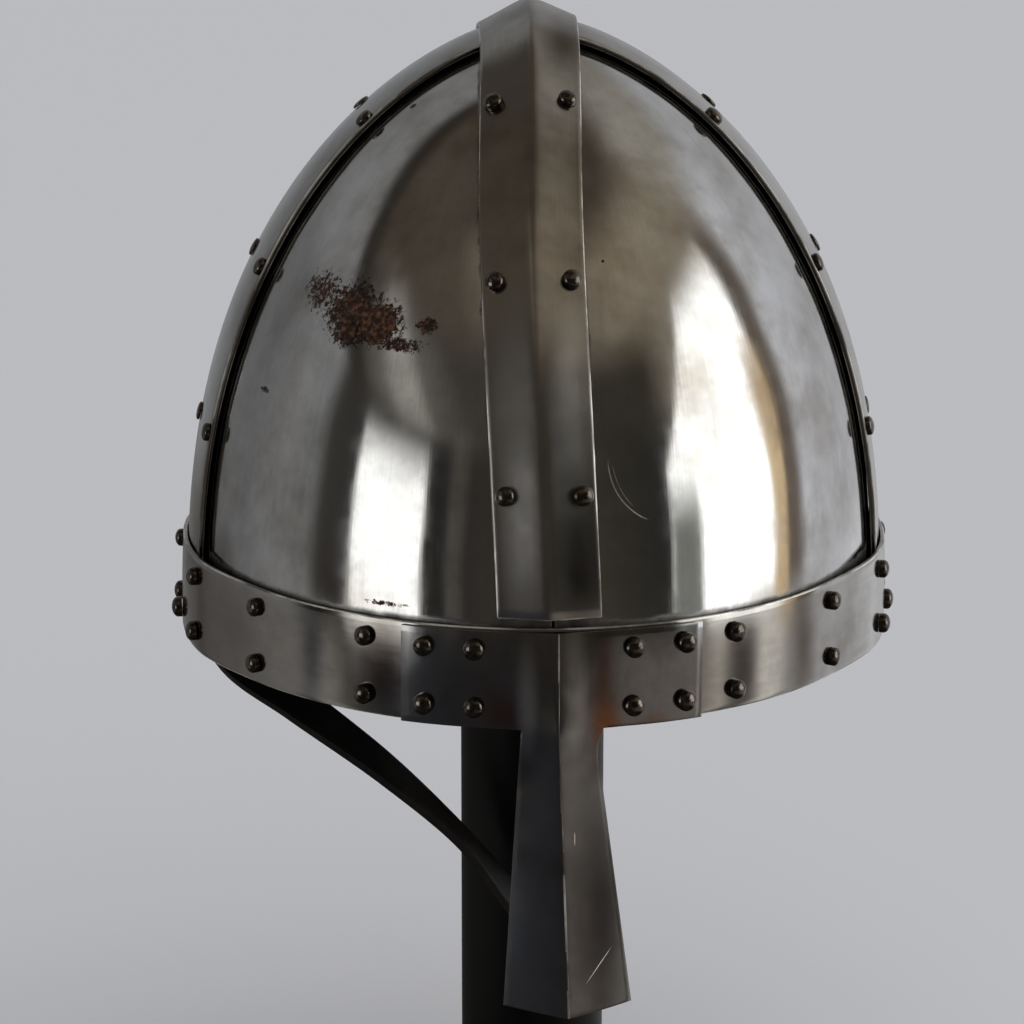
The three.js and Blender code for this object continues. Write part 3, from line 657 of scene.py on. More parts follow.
plates = []
for front_name, front in (("front", -1), ("back", 1)):
    for side_name, side in (("left", -1), ("right", 1)):
        plate = bent_sheet(f"dome_plate_{front_name}_{side_name}", *PLATE_GRID,
                           plate_lay(side, front), PLATE_WALL, (plate_steel, edge_wear_and_highlight))
        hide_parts(f"plate_{front_name}_{side_name}")
        plates.append(plate)

# %% Painted shade along the bands, as an attribute of the mesh
# How far the painted shade reaches from a band's edge in mm, and how thick it lies there
RIDGE_EDGE_SHADE, SIDE_EDGE_SHADE, BROW_EDGE_SHADE = (0.8, 0.6), (1.5, 1.0), (1.0, 0.8)
WANDER_AT_BACK = 0.4


# Painted shade: darkest under each band's edge, where the slot beneath it lies in shadow
def band_shade_on_plate(point):
    """1 under a band's edge, fading to 0 a few millimetres out on the plate."""
    level = point.z / HEIGHT
    x = point.x - CROWN_LEAN * level
    fade = 1.0 if point.y < 0 else WANDER_AT_BACK
    from_ridge = abs(x - RIDGE_WIDTH * ridge_shift(level) * fade) - RIDGE_WIDTH / 2
    from_side = abs(point.y + SIDE_WIDTH * side_ahead(level)) - SIDE_WIDTH / 2
    from_brow = point.z - BROW_HEIGHT
    band_shade = 0.0
    for distance, (reach, depth) in ((from_ridge, RIDGE_EDGE_SHADE), (from_side, SIDE_EDGE_SHADE),
                                     (from_brow, BROW_EDGE_SHADE)):
        band_shade = max(band_shade, depth * math.exp(-(max(distance, 0.0) / reach) ** 2))
    return band_shade


def helmet_mm(co):
    return Vector((co.x / MM, co.y / MM, co.z / MM - BROW_FLOOR))


for plate in plates:
    band_shade = plate.data.attributes.new("band_shade", "FLOAT", "POINT")
    values = [band_shade_on_plate(helmet_mm(v.co)) for v in plate.data.vertices]
    band_shade.data.foreach_set("value", values)
print("dirt painted on", len(plates), "plates")

# %% [markdown]
# ## The ridge band
# One strip runs from the brow over the crown to the back, folded along its middle. It
# lies on the plates low down and climbs over the side bands at the crown. It was beaten
# by hand, so it wanders a few millimetres off the middle, and it flattens to its edges.

# %% Ridge band
FOLD_ROUNDING = 0.07
FOLD_FLARE = 1.5
RIDGE_WAVE = (26.0, 0.12)
RIDGE_GRID = (24, 220)
WAVE_WAY = Vector((0, -0.5, 0.5))


def ridge_point(along, across, depth):
    start_climb = climb_at(RIDGE_END)
    sweep = start_climb + along * (math.pi - 2 * start_climb)
    front = sweep <= math.pi / 2
    climb = min(sweep if front else math.pi - sweep, math.pi / 2 - 1e-4)
    turn = 0.0 if front else math.pi
    middle = dome_point(climb, turn)
    normal = dome_normal(climb, turn)
    fade = 1.0 if front else 1 - smooth_step(2 * along - 1)
    start = middle.copy()
    start.x = RIDGE_WIDTH * (ridge_shift(middle.z / HEIGHT) * fade + across / 2)
    rest = drape(start, -normal)
    past_side_band = abs(rest.y) - SIDE_WIDTH / 2
    lift = 1 - smooth_step((past_side_band - RIDGE_RAMP_START) / RIDGE_RAMP)
    seat = SEAT_GAP + lift * (RIDGE_LIFT - SEAT_GAP)
    rounded = math.hypot(across, FOLD_ROUNDING) - FOLD_ROUNDING
    slope = 1 - rounded / (math.hypot(1, FOLD_ROUNDING) - FOLD_ROUNDING)
    crease = RIDGE_CREASE * max(slope, 0.0) ** FOLD_FLARE
    return lean(rest + normal * (seat + depth + crease))


def ridge_lay(u, v):
    point = ridge_point(v, 2 * u - 1, BAND_WALL)
    return point + ripple(point, *RIDGE_WAVE) * WAVE_WAY


ridge = bent_sheet("ridge_strip", *RIDGE_GRID, ridge_lay, BAND_WALL, (ridge_steel, edge_wear_and_highlight))
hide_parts("ridge_band")

# %% [markdown]
# ## The side bands
# The two side bands stand almost a millimetre off the plates, and the dark slot under
# their edges is what draws them. They end under the ridge band.

# %% Side bands
SIDE_GRID = (14, 120)
side_start = climb_at(SIDE_FOOT)
side_end_share = (RIDGE_WIDTH / 2 - SIDE_TUCK) / HALF_WIDTH
side_climb = math.acos(side_end_share ** (1 / TAPER)) - side_start


def side_point(side, along, across, depth):
    climb = side_start + along * side_climb
    turn = side * math.pi / 2
    middle = dome_point(climb, turn)
    start = middle.copy()
    start.y = SIDE_WIDTH * (across / 2 - side_ahead(middle.z / HEIGHT))
    rest = drape(start, -dome_normal(climb, turn))
    rest_turn = math.atan2(rest.x / HALF_WIDTH, -rest.y / HALF_DEPTH)
    share = math.hypot(rest.x / HALF_WIDTH, rest.y / HALF_DEPTH)
    steep = math.acos(min(share ** (1 / TAPER), 1.0))
    rest_climb = climb_at(rest.z) if rest.z < HEIGHT / 2 else steep
    return lean(rest + dome_normal(rest_climb, rest_turn) * (SIDE_STANDOFF + depth))


side_strips = []
for side_name, side in (("left", -1), ("right", 1)):
    strip = bent_sheet(f"side_strip_{side_name}", *SIDE_GRID,
                       lambda u, v: side_point(side, v, 2 * u - 1, BAND_WALL), BAND_WALL,
                       (band_steel, edge_wear_and_highlight))
    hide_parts(f"side_band_{side_name}")
    side_strips.append(strip)

# %% [markdown]
# ## The brow band
# A plain ring, bent round the foot of the dome over the side bands. Between them, in
# front and at the back, it is drawn in towards the plates. The grid's two ends meet, and
# merging their points closes the ring before it gets its wall.

# %% Brow band
BROW_PULL = 2.3
# Bearings in degrees where the drawing in starts and is full
PULL_FRONT = (72.0, 52.0)
PULL_BACK = (94.0, 112.0)
BROW_WAVE_HEIGHT = 0.16
BROW_WAVES = 90 / 24
BROW_GRID = (320, 16)


def brow_pull(turn):
    """How far the ring is drawn in where no side band lies under it."""
    away = abs((math.degrees(turn) + 180) % 360 - 180)
    front = smooth_step((away - PULL_FRONT[0]) / (PULL_FRONT[1] - PULL_FRONT[0]))
    back = smooth_step((away - PULL_BACK[0]) / (PULL_BACK[1] - PULL_BACK[0]))
    return BROW_PULL * max(front, back)


def brow_point(turn, z, offset):
    share = dome_share(max(z, 0.0))
    offset -= brow_pull(turn)
    return Vector(((HALF_WIDTH * share + offset) * math.sin(turn),
                   -(HALF_DEPTH * share + offset) * math.cos(turn), z))


def brow_lay(u, v):
    turn = 2 * math.pi * u
    ring_place = Vector((math.sin(turn), math.cos(turn), 0)) * BROW_WAVES
    wave = BROW_WAVE_HEIGHT * noise.noise(ring_place + Vector((0, 0, v)))
    return lean(brow_point(turn, BROW_HEIGHT * v, BROW_OUTER + wave))


brow = bent_sheet("brow_ring", *BROW_GRID, brow_lay, BROW_WALL, (brow_steel, edge_wear_and_highlight),
                  ring=True)
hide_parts("brow_band")

# %% [markdown]
# ## The nose guard
# The guard is one plate shaped like a T: two arms riveted to the brow band and a bar
# that widens downward, all folded along the middle. The sheet is a grid whose columns
# crowd towards the fold, and the two rectangles beside the bar are cut away.

# %% Nose guard
ARM_REACH = 38.8
ARM_HEIGHT = 25.4
NASAL_DROP = 75.0
NECK_WIDTH = 19.0
TIP_WIDTH = 33.5
NECK_CREASE = 4.0
TIP_CREASE = 6.0
TIP_POINT = 1.6
NASAL_SHIFT = 1.2
NASAL_LEAN = 3.2
NECK_FILLET = 2.2
NECK_FILLET_DROP = 7.0
GUARD_FOLD_ROUNDING = 0.045
FOLD_SPREAD = 2.0
FOLD_BLEND = 16.0
FOLD_TOP_LOSS = 0.6
GUARD_WAVE = (18.0, 0.12)
CREST_SEED, CREST_PATCHES, CREST_HIGHLIGHT_OVER = 3.7, 9, -0.25
ARM_COLUMNS = 14
ARM_ROWS = 16
BAR_ROWS = 50
BAR_PLACES = [0, 0.02, 0.045, 0.08, 0.13, 0.2, 0.3, 0.4, 0.5, 0.6, 0.7, 0.8, 0.9, 1.0]

half_columns = BAR_PLACES + [1 + 3 * (k + 1) / ARM_COLUMNS for k in range(ARM_COLUMNS)]
guard_columns = [-c for c in reversed(half_columns[1:])] + half_columns
guard_rows = ([-1 + k / BAR_ROWS for k in range(BAR_ROWS)]
              + [k / ARM_ROWS for k in range(ARM_ROWS + 1)])


def guard_face(x, z, offset, crease):
    share = dome_share(max(z, 0.0))
    offset -= BROW_PULL
    half_width = HALF_WIDTH * share + offset
    turn = math.asin(min(max(x / half_width, -1.0), 1.0))
    return Vector((x, -(HALF_DEPTH * share + offset) * math.cos(turn) - crease, z))


def guard_lay(u, v):
    column = guard_columns[round(u * (len(guard_columns) - 1))]
    row = guard_rows[round(v * (len(guard_rows) - 1))]
    z = row * (ARM_HEIGHT if row > 0 else NASAL_DROP)
    down = max(-row, 0.0)
    half = (NECK_WIDTH + down * (TIP_WIDTH - NECK_WIDTH)) / 2
    side = math.copysign(1.0, column)
    part = abs(column)
    fold_x = NASAL_SHIFT + NASAL_LEAN * down
    bar_x = fold_x + side * min(part, 1.0) * half
    if column > 0 and row <= 0:
        near_arm = max(1 + z / NECK_FILLET_DROP, 0.0)
        bar_x += NECK_FILLET * near_arm**2 * min(part, 1.0)
    x = bar_x + max(part - 1, 0.0) / 3 * (side * ARM_REACH - bar_x)
    distance = abs(x - fold_x) / half
    rounded = math.hypot(distance, GUARD_FOLD_ROUNDING) - GUARD_FOLD_ROUNDING
    straight = max(1 - rounded, 0.0)
    spread = max(1 - rounded / FOLD_SPREAD, 0.0) ** 2
    fold = straight + (spread - straight) * smooth_step(1 + z / FOLD_BLEND)
    crease = (NECK_CREASE + down * (TIP_CREASE - NECK_CREASE)) * fold
    crease *= 1 - FOLD_TOP_LOSS * max(z, 0.0) / ARM_HEIGHT
    point = guard_face(x, z, GUARD_OUTER, crease)
    if row == -1:
        point.z -= TIP_POINT * max(1 - part, 0.0)
    point.y += ripple(point, *GUARD_WAVE)
    return lean(point)


def beside_bar(u, v):
    column = u * (len(guard_columns) - 1)
    row = v * (len(guard_rows) - 1)
    on_bar = ARM_COLUMNS < column < len(guard_columns) - 1 - ARM_COLUMNS
    return row < BAR_ROWS and not on_bar


# Painted highlight: the crest's faces take the pale edge steel
def on_fold(u, v):
    """The fold's crest is worn bright, with gaps; its pale steel is also a painted highlight
    along the fold.
    """
    column = u * (len(guard_columns) - 1) - (len(guard_columns) - 1) / 2
    highlight_and_wear = noise.noise(Vector((CREST_SEED, column, v * CREST_PATCHES)))
    return abs(column) < 1 and highlight_and_wear > CREST_HIGHLIGHT_OVER


guard = bent_sheet("nose_guard", len(guard_columns) - 1, len(guard_rows) - 1,
                   guard_lay, BAND_WALL, (guard_steel, edge_wear_and_highlight), cut=beside_bar, highlight_and_wear=on_fold)
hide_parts("nasal_guard")

# %% [markdown]
# ## The rivets
# Every rivet is the same domed head, a little proud of its band. It is modelled once: a
# ball is cut in half, flattened, and its flat side is drawn down into a short shank.
# Copies are then stood on the bands, each with its own small tilt and size. Those on the
# side bands were hammered flatter.

# %% One rivet head
RIVET_RADIUS = 2.6
RIVET_RISE = 2.3
RIVET_SHANK = 0.7
RIVET_SINK = 0.35
RIVET_SEGMENTS, RIVET_RINGS = 24, 14
RIVET_SMOOTH_ANGLE = math.radians(50)

bpy.ops.mesh.primitive_uv_sphere_add(segments=RIVET_SEGMENTS, ring_count=RIVET_RINGS,
                                     radius=RIVET_RADIUS)
model_rivet = bpy.context.object
mode("EDIT")
pick("SELECT")
bpy.ops.mesh.bisect(plane_co=(0, 0, 0), plane_no=(0, 0, 1), use_fill=True, clear_inner=True)
pick("SELECT")
bpy.ops.transform.resize(value=(1, 1, (RIVET_RISE - RIVET_SHANK) / RIVET_RADIUS))
pick("DESELECT")
mode("OBJECT")
for face in model_rivet.data.polygons:
    face.select = face.normal.z < -0.9
mode("EDIT")
bpy.ops.mesh.select_mode(type="FACE")
bpy.ops.mesh.extrude_region_move(
    TRANSFORM_OT_translate={"value": (0, 0, -RIVET_SHANK - RIVET_SINK)})
pick("SELECT")
bpy.ops.transform.translate(value=(0, 0, RIVET_SHANK))
bpy.ops.mesh.normals_make_consistent(inside=False)
mode("OBJECT")
bpy.ops.object.shade_smooth_by_angle(angle=RIVET_SMOOTH_ANGLE)
print("one rivet head:", len(model_rivet.data.polygons), "faces")

# %% Where the rivets stand
RIDGE_RIVETS = [0.355, 0.66, 0.9]
SIDE_RIVETS = [0.355, 0.625, 0.855]
BROW_RIVETS = [29.8, 52.6, 72, 94, 115, 137, 159]
ARM_RIVETS = [-0.85, -0.52, 0.53, 0.88]
STRAP_RIVET_ANGLE = 85
STRAP_RIVET_SCALE = 1.15
RIVET_SPREAD = 9.6
# Across the side bands in mm, and how much of its height each head keeps
SIDE_RIVET_PLACES = [(-11.8, 0.7), (12.4, 0.42)]
RIVET_EDGE = 5.3
RIVET_TILT = 0.06
RIVET_SIZES = (0.95, 1.05)
RIVET_HEIGHTS = (0.9, 1.05)
FULL_TURN = 6.28
STEP = 1e-3


def ridge_along(height):
    start = climb_at(RIDGE_END)
    return (climb_at(height * HEIGHT) - start) / (math.pi - 2 * start)


def ridge_face(a, b):
    return ridge_point(a, b, BAND_WALL)


def brow_face(a, b):
    return lean(brow_point(a, b, BROW_OUTER))


def arm_face(a, b):
    return lean(guard_face(a, b, GUARD_OUTER, 0.0))


seats = []
for height in RIDGE_RIVETS:
    for side in (-1, 1):
        spread = side * 2 * RIVET_SPREAD / RIDGE_WIDTH
        seats.append((ridge_face, ridge_along(height), spread, 1.0, 1.0))
        seats.append((ridge_face, 1 - ridge_along(height), spread, 1.0, 1.0))
for side in (-1, 1):
    def face_of_side(a, b, side=side):
        return side_point(side, a, b, BAND_WALL)
    for height in SIDE_RIVETS:
        along = (climb_at(height * HEIGHT) - side_start) / side_climb
        for spread, flat in SIDE_RIVET_PLACES:
            seats.append((face_of_side, along, 2 * spread / SIDE_WIDTH, 1.0, flat))
    for angle in BROW_RIVETS:
        for z in (RIVET_EDGE, BROW_HEIGHT - RIVET_EDGE):
            seats.append((brow_face, side * math.radians(angle), z, 1.0, 1.0))
    seats.append((brow_face, side * math.radians(STRAP_RIVET_ANGLE), RIVET_EDGE,
                  STRAP_RIVET_SCALE, 1.0))
for share in ARM_RIVETS:
    for z in (RIVET_EDGE, BROW_HEIGHT - RIVET_EDGE):
        seats.append((arm_face, share * ARM_REACH, z, 1.0, 1.0))
print(len(seats), "rivets")

# %% Stand a copy on each place
heads = []
for surface, a, b, scale, flat in seats:
    place = surface(a, b)
    along_a = surface(a + STEP, b) - surface(a - STEP, b)
    along_b = surface(a, b + STEP) - surface(a, b - STEP)
    outward = along_a.cross(along_b).normalized()
    if outward.dot(Vector((place.x, place.y, max(place.z, 0.0)))) < 0:
        outward.negate()
    outward += Vector([random.uniform(-RIVET_TILT, RIVET_TILT) for _ in range(3)])
    spin = Quaternion((0, 0, 1), random.uniform(0, FULL_TURN))
    turn = outward.to_track_quat("Z", "Y") @ spin
    size = scale * random.uniform(*RIVET_SIZES) * MM
    tall = size * flat * random.uniform(*RIVET_HEIGHTS)
    head = model_rivet.copy()
    head.data = model_rivet.data.copy()
    bpy.context.collection.objects.link(head)
    head.data.transform(Matrix.LocRotScale(in_frame(place), turn, Vector((size, size, tall))))
    heads.append(head)
bpy.data.objects.remove(model_rivet)
alone(heads[0])
for head in heads:
    head.select_set(True)
bpy.ops.object.join()
rivets = bpy.context.object
rivets.name = rivets.data.name = "rivet_heads"
rivets.data.materials.append(rivet_steel)
rivet_nodes = sorted(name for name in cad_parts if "rivet" in name)
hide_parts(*rivet_nodes)
print("rivet heads replace", len(rivet_nodes), "nodes")

# %% [markdown]
# ## The chin strap
# A flat leather strap hangs from a rivet on the left, passes behind the nose guard in
# front of the post, and goes up to the right rivet on its hidden side. The route is a
# table of places, with the way the strap's width points at each.

# %% Chin strap
STRAP_WIDTH = 12.0
STRAP_THICKNESS = 2.2
STRAP_EDGE = 0.5
STRAP_GRID = (8, 260)
LENGTH_STEPS = 400
# across, ahead and up in shares of half width, half depth and nasal drop; then the way
# its width points: sideways, back and up
STRAP_ROUTE = [
    (-0.944, 0.055, 0.173, 0.00, 1.00, 0.00),
    (-0.943, 0.068, 0.040, 0.05, 1.00, 0.00),
    (-0.882, 0.127, -0.109, 0.44, 0.70, 0.55),
    (-0.696, 0.200, -0.269, 0.39, 0.81, 0.44),
    (-0.443, 0.249, -0.504, 0.23, 0.94, 0.26),
    (-0.216, 0.272, -0.770, 0.09, 0.99, 0.08),
    (-0.082, 0.282, -0.987, 0.20, 0.96, 0.17),
    (-0.011, 0.282, -1.120, 0.05, 1.00, 0.05),
    (0.047, 0.282, -1.167, 0.00, 1.00, 0.00),
    (0.100, 0.282, -1.093, 0.00, 1.00, 0.00),
    (0.111, 0.282, -0.933, 0.00, 1.00, 0.00),
    (0.089, 0.282, -0.667, 0.00, 1.00, 0.00),
    (0.084, 0.282, -0.440, 0.00, 1.00, 0.00),
    (0.137, 0.291, -0.253, 0.00, 1.00, 0.00),
    (0.337, 0.291, -0.133, 0.00, 1.00, 0.00),
    (0.611, 0.245, -0.067, 0.00, 1.00, 0.00),
    (0.842, 0.164, -0.013, 0.00, 1.00, 0.00),
    (0.943, 0.068, 0.053, 0.00, 1.00, 0.00),
    (0.944, 0.055, 0.173, 0.00, 1.00, 0.00),
]


def bend_through(points):
    """A curve through points, 0 to 1, rounder the farther apart they are."""
    path = [2 * points[0] - points[1]] + points + [2 * points[-1] - points[-2]]

    def gap(start, end, instead):
        wide = math.sqrt((end - start).length)
        return wide if wide > 1e-4 else instead

    def at(share):
        place = min(max(share, 0.0), 1.0) * (len(points) - 1)
        i = min(int(place), len(points) - 2)
        p0, p1, p2, p3 = path[i:i + 4]
        g1 = gap(p1, p2, 1.0)
        g0, g2 = gap(p0, p1, g1), gap(p2, p3, g1)
        m1 = ((p1 - p0) / g0 - (p2 - p0) / (g0 + g1) + (p2 - p1) / g1) * g1
        m2 = ((p2 - p1) / g1 - (p3 - p1) / (g1 + g2) + (p3 - p2) / g2) * g1
        return cubic(place - i, p1, m1, p2, m2)

    return at


strap_middle = bend_through([
    Vector((across * HALF_WIDTH, -ahead * HALF_DEPTH, up * NASAL_DROP))
    for across, ahead, up, *_ in STRAP_ROUTE])
strap_wide = bend_through([Vector(row[3:]) for row in STRAP_ROUTE])


def strap_lay(u, v):
    tangent = (strap_middle(v + STEP) - strap_middle(v - STEP)).normalized()
    wide = strap_wide(v)
    wide = (wide - tangent * wide.dot(tangent)).normalized()
    return strap_middle(v) + wide * (u - 0.5) * STRAP_WIDTH


strap = bent_sheet("leather_strap", *STRAP_GRID, strap_lay, STRAP_THICKNESS,
                   (leather, leather), middle=True, edge=STRAP_EDGE)
strap_places = [strap_middle(k / LENGTH_STEPS) for k in range(LENGTH_STEPS + 1)]
strap_length = sum((b - a).length for a, b in zip(strap_places, strap_places[1:]))
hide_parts("chin_strap")
print("strap length", round(strap_length), "mm")

# %% [markdown]
# ## The stand
# A turned post on a round foot carries the helmet. Both are cylinders with their edges
# broken by a bevel. The cap under the crown is out of sight, so its solid stays as it is.

# %% Post and foot
POST_RADIUS = 20.4
BASE_RADIUS = 95.0
BASE_THICKNESS = 18.0
POST_CHAMFER = 0.6
BASE_CHAMFER = 2.6
POST_SIDES = 128
POST_SMOOTH_ANGLE = math.radians(35)
post_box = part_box("stand_post")
post_low, post_high = post_box[0][2], post_box[1][2]


def turned(name, radius, low, high, chamfer, node):
    bpy.ops.mesh.primitive_cylinder_add(vertices=POST_SIDES, radius=radius, depth=high - low,
                                        location=(0, 0, (low + high) / 2))
    piece = bpy.context.object
    piece.name = piece.data.name = name
    piece.data.materials.append(paint)
    bpy.ops.object.transform_apply(location=True, rotation=True, scale=True)
    broken = piece.modifiers.new("broken edge", "BEVEL")
    broken.width = chamfer
    broken.segments = 4
    broken.limit_method = "ANGLE"
    broken.angle_limit = EDGE_ANGLE
    finish_modifiers(piece)
    bpy.ops.object.shade_smooth_by_angle(angle=POST_SMOOTH_ANGLE)
    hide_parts(node)
    print(name, len(piece.data.polygons), "faces")
    return piece


post = turned("turned_post", POST_RADIUS * MM, post_low, post_high, POST_CHAMFER * MM,
              "stand_post")
foot = turned("round_foot", BASE_RADIUS * MM, 0.0, BASE_THICKNESS * MM, BASE_CHAMFER * MM,
              "stand_base")
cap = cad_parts["stand_cap"]
cap.data.materials.clear()
cap.data.materials.append(paint)

# %% [markdown]
# ## Floor, light and room
# Polished steel shows its surroundings more than its own colour. The room is a ring of
# tones round the helmet: a tall window on the right, a smaller one on the left, grey
# walls beside and behind them, a dark room in front and a brownish ceiling. A wide soft
# sun, which mirrors don't show, lights the pale floor.

# %% Floor
FLOOR_METRES = 60
SUN_STRENGTH = 1.55
SUN_WIDTH_DEGREES = 70
SUN_TURN_DEGREES = (28, 18, 0)

bpy.ops.mesh.primitive_plane_add(size=FLOOR_METRES)
floor = bpy.context.object
floor.name = floor.data.name = "floor"
floor.visible_glossy = False
matt, tree, shader = new_material("matt pale paper")
feed(tree, shader, {"Base Color": colour("#d6dae3"), "Roughness": 0.95})
floor.data.materials.append(matt)

sun = bpy.data.objects.new("soft_sun", bpy.data.lights.new("soft_sun", "SUN"))
bpy.context.collection.objects.link(sun)
sun.data.energy = SUN_STRENGTH
sun.data.angle = math.radians(SUN_WIDTH_DEGREES)
sun.rotation_euler = [math.radians(turn) for turn in SUN_TURN_DEGREES]
sun.visible_glossy = False
print("floor and sun")

# %% Room tones in the steel
# Tones by bearing in degrees: 0 is in front of the face and 90 is on the right. WALLS is
# level with the helmet, and the rings after it lie higher up and at the floor.
WALLS = [
    (-180, "#6f7072"), (-158, "#646566"), (-148, "#5c5c5c"), (-126, "#5c5b5b"),
    (-104, "#727170"), (-93, "#6b6b6a"), (-87, "#33302c"), (-77, "#2c2a28"), (-46, "#211f1c"),
    (-38.5, "#232120"), (-36.5, "#45423d"), (-32.5, "#403d39"), (-30, "#2a2724"),
    (-25, "#2e2b27"), (20, "#35302a"), (30, "#2e2b25"), (46, "#232220"), (98, "#5a5048"),
    (105, "#5f564e"), (109, "#b6b6b8"), (122, "#a6a6a8"), (140, "#98989a"), (160, "#868687"),
    (180, "#6f7072"),
]
OVER_WINDOWS = [
    (-180, "#6a6a6b"), (-158, "#666667"), (-148, "#6c6c6c"), (-91, "#727170"),
    (-86, "#2a2622"), (-79, "#2d2925"), (-72, "#4c4842"), (-65, "#5c5852"), (-58, "#8a867f"),
    (-50, "#8a867f"), (-43, "#56524c"), (-25, "#38342f"), (20, "#332f29"), (46, "#33302a"),
    (58, "#716a5e"), (92, "#756d62"), (99, "#4b433d"), (106, "#5f564e"), (112, "#b0b0b2"),
    (125, "#a2a2a4"), (150, "#8c8c8d"), (180, "#6a6a6b"),
]
CEILING = [
    (-180, "#5c5853"), (-158, "#6f6e6c"), (-98, "#6b6a68"), (-89, "#29241f"),
    (-81, "#2c2722"), (-72, "#443d35"), (-45, "#433c34"), (-10, "#463f36"), (22, "#6b6256"),
    (50, "#7d7363"), (95, "#7f7667"), (112, "#8b867d"), (140, "#7d7870"), (165, "#68635c"),
    (180, "#5c5853"),
]
GROUND = [
    (-180, "#5a5a59"), (-140, "#3f3c3a"), (-120, "#605e5d"), (-95, "#696663"),
    (-88, "#93928f"), (-82, "#858380"), (-75, "#47433f"), (-60, "#393a3d"), (-35, "#2a2a2c"),
    (-10, "#2f2a26"), (13, "#58514b"), (44, "#746d66"), (60, "#78716a"), (66, "#aaa49c"),
    (71, "#67615b"), (79, "#67615b"), (84, "#c8c3bc"), (91, "#c8c3bc"), (97, "#8b8886"),
    (138, "#b2b2b4"), (180, "#5a5a59"),
]
ZENITH = "#403830"
UNDERFOOT = "#302c28"
ROOM_STRENGTH = 2.0
BACKDROP = "#b9bcc4"
# Over the left window the wall's corner runs up and away, so bearings shift with height
CORNER_RISE = (20.0, 60.0)
CORNER_SIDE = (0.0, -40.0)
CORNER_TILT = 1.45
# Each pane: its left, right, sill and head in degrees, how far its left side leans in per
# degree over LEAN_FROM, its tone and its glare. The first two are the windows, and the
# other two are dimmer and stand before the right one.
PANES = [
    (-74, -47, -10.5, 11, 0.0, "#fffdf8", 2.3), (49, 97.5, -10.5, 34, 0.8, "#fffdf8", 2.6),
    (49, 61, -12, 5, 0.0, "#bdbeb4", 0.6), (91.5, 99, -12, 16, 0.0, "#f0d2a6", 1.3),
]
LEAN_FROM = 12.0
# How far a pane's light fades outside and inside its edges, in degrees
SIDE_FADE, SILL_FADE, HEAD_FADE = (1, 1.5), (1.5, 1.5), (8, 4)


def degrees_of(tree, radians):
    return maths(tree, "MULTIPLY", radians, 180 / math.pi)


def tones_round(tree, place, rows):
    return stops(tree, place, [((bearing + 180) / 360, tone) for bearing, tone in rows])


world = bpy.data.worlds.new("room")
bpy.context.scene.world = world
world.use_nodes = True
tree = world.node_tree
tree.nodes.clear()
way = put(tree, "TexCoord").outputs["Generated"]
x, y, z = put(tree, "SeparateXYZ", None, {0: way}).outputs
bearing = degrees_of(tree, maths(tree, "ARCTAN2", x, maths(tree, "MULTIPLY", y, -1.0)))
height = degrees_of(tree, maths(tree, "ARCSINE", z))
round_share = ranged(tree, bearing, -180.0, 180.0, kind="LINEAR")
corner_shift = (CORNER_RISE[1] - CORNER_RISE[0]) * CORNER_TILT / 360
raised = ranged(tree, height, *CORNER_RISE, 0.0, corner_shift, "LINEAR")
shifted = maths(tree, "MULTIPLY_ADD", raised, ranged(tree, bearing, *CORNER_SIDE), round_share)

# From the walls up, then from the walls down: where each tone starts and where it is full
room = tones_round(tree, round_share, WALLS)
for start, full, tone in ((15.0, 24.0, tones_round(tree, shifted, OVER_WINDOWS)),
                          (31.0, 45.0, tones_round(tree, shifted, CEILING)),
                          (55.0, 72.0, colour(ZENITH)),
                          (-9.0, -13.0, tones_round(tree, round_share, GROUND)),
                          (-26.0, -44.0, colour(UNDERFOOT))):
    room = blend(tree, ranged(tree, height, start, full), room, tone)
room = blend(tree, 1.0, room, (ROOM_STRENGTH, ROOM_STRENGTH, ROOM_STRENGTH, 1.0), "MULTIPLY")

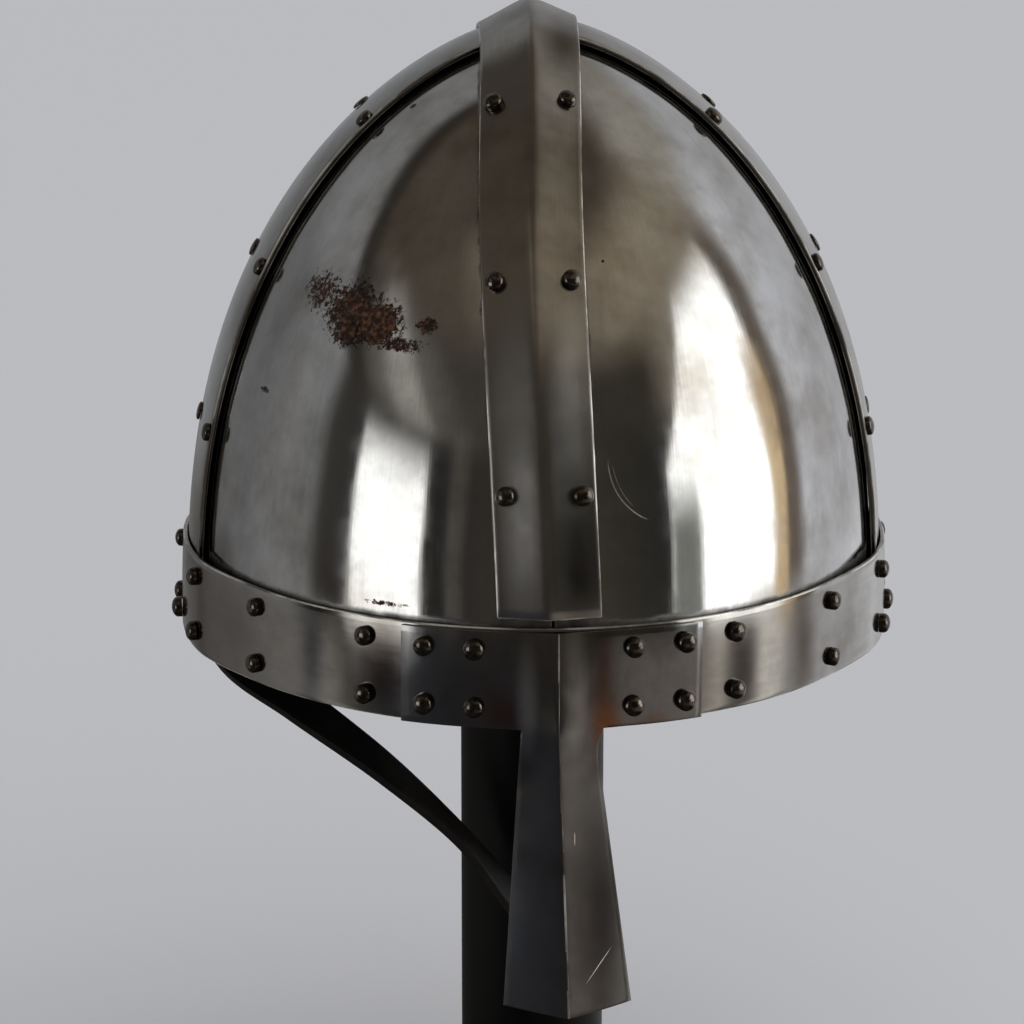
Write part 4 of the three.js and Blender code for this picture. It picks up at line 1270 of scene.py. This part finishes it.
over_lean = maths(tree, "MAXIMUM", maths(tree, "SUBTRACT", height, LEAN_FROM), 0.0)
for left, right, sill, head, lean_in, tone, glare in PANES:
    leaning = maths(tree, "MULTIPLY_ADD", over_lean, -lean_in, bearing)
    inside = [ranged(tree, value, edge - way_in * outer, edge + way_in * inner)
              for value, edge, way_in, (outer, inner) in (
                  (leaning, left, 1, SIDE_FADE), (bearing, right, -1, SIDE_FADE),
                  (height, sill, 1, SILL_FADE), (height, head, -1, HEAD_FADE))]
    share = inside[0]
    for part in inside[1:]:
        share = maths(tree, "MULTIPLY", share, part)
    room = blend(tree, share, room, (*(glare * part for part in colour(tone)[:3]), 1.0))

seen = put(tree, "Background", None, {"Color": colour(BACKDROP)})
mirrored = put(tree, "Background", None, {"Color": room})
rays = put(tree, "LightPath").outputs["Is Camera Ray"]
both = put(tree, "MixShader", None,
           {0: rays, 1: mirrored.outputs[0], 2: seen.outputs[0]})
put(tree, "OutputWorld", None, {"Surface": both.outputs[0]})
print("room with", len(PANES), "panes of light")

# %% [markdown]
# ## The camera
# It stands a little to the left of the helmet's middle and above it, with a long lens, as
# the photograph was taken.

# %% Camera
CAMERA_PLACE = Vector((-50.14, -1059.64, 480.37)) * MM
LOOK = Vector((0.040563, 0.969692, -0.240945))
SENSOR_MM = 36.0
LENS_MM = 136.14
CLIP_METRES = 100.0

camera = bpy.data.objects.new("camera", bpy.data.cameras.new("camera"))
bpy.context.collection.objects.link(camera)
bpy.context.scene.camera = camera
camera.location = CAMERA_PLACE
camera.rotation_mode = "QUATERNION"
camera.rotation_quaternion = LOOK.to_track_quat("-Z", "Y")
camera.data.sensor_width = SENSOR_MM
camera.data.lens = LENS_MM
camera.data.clip_end = CLIP_METRES
bpy.context.scene.view_settings.view_transform = "Standard"
bpy.context.scene.view_settings.look = "None"
print("camera at", tuple(round(v, 3) for v in camera.location))

# %% Ride on the one body
for piece in plates + side_strips + [ridge, brow, guard, rivets, strap, post, foot]:
    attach(piece, "root")
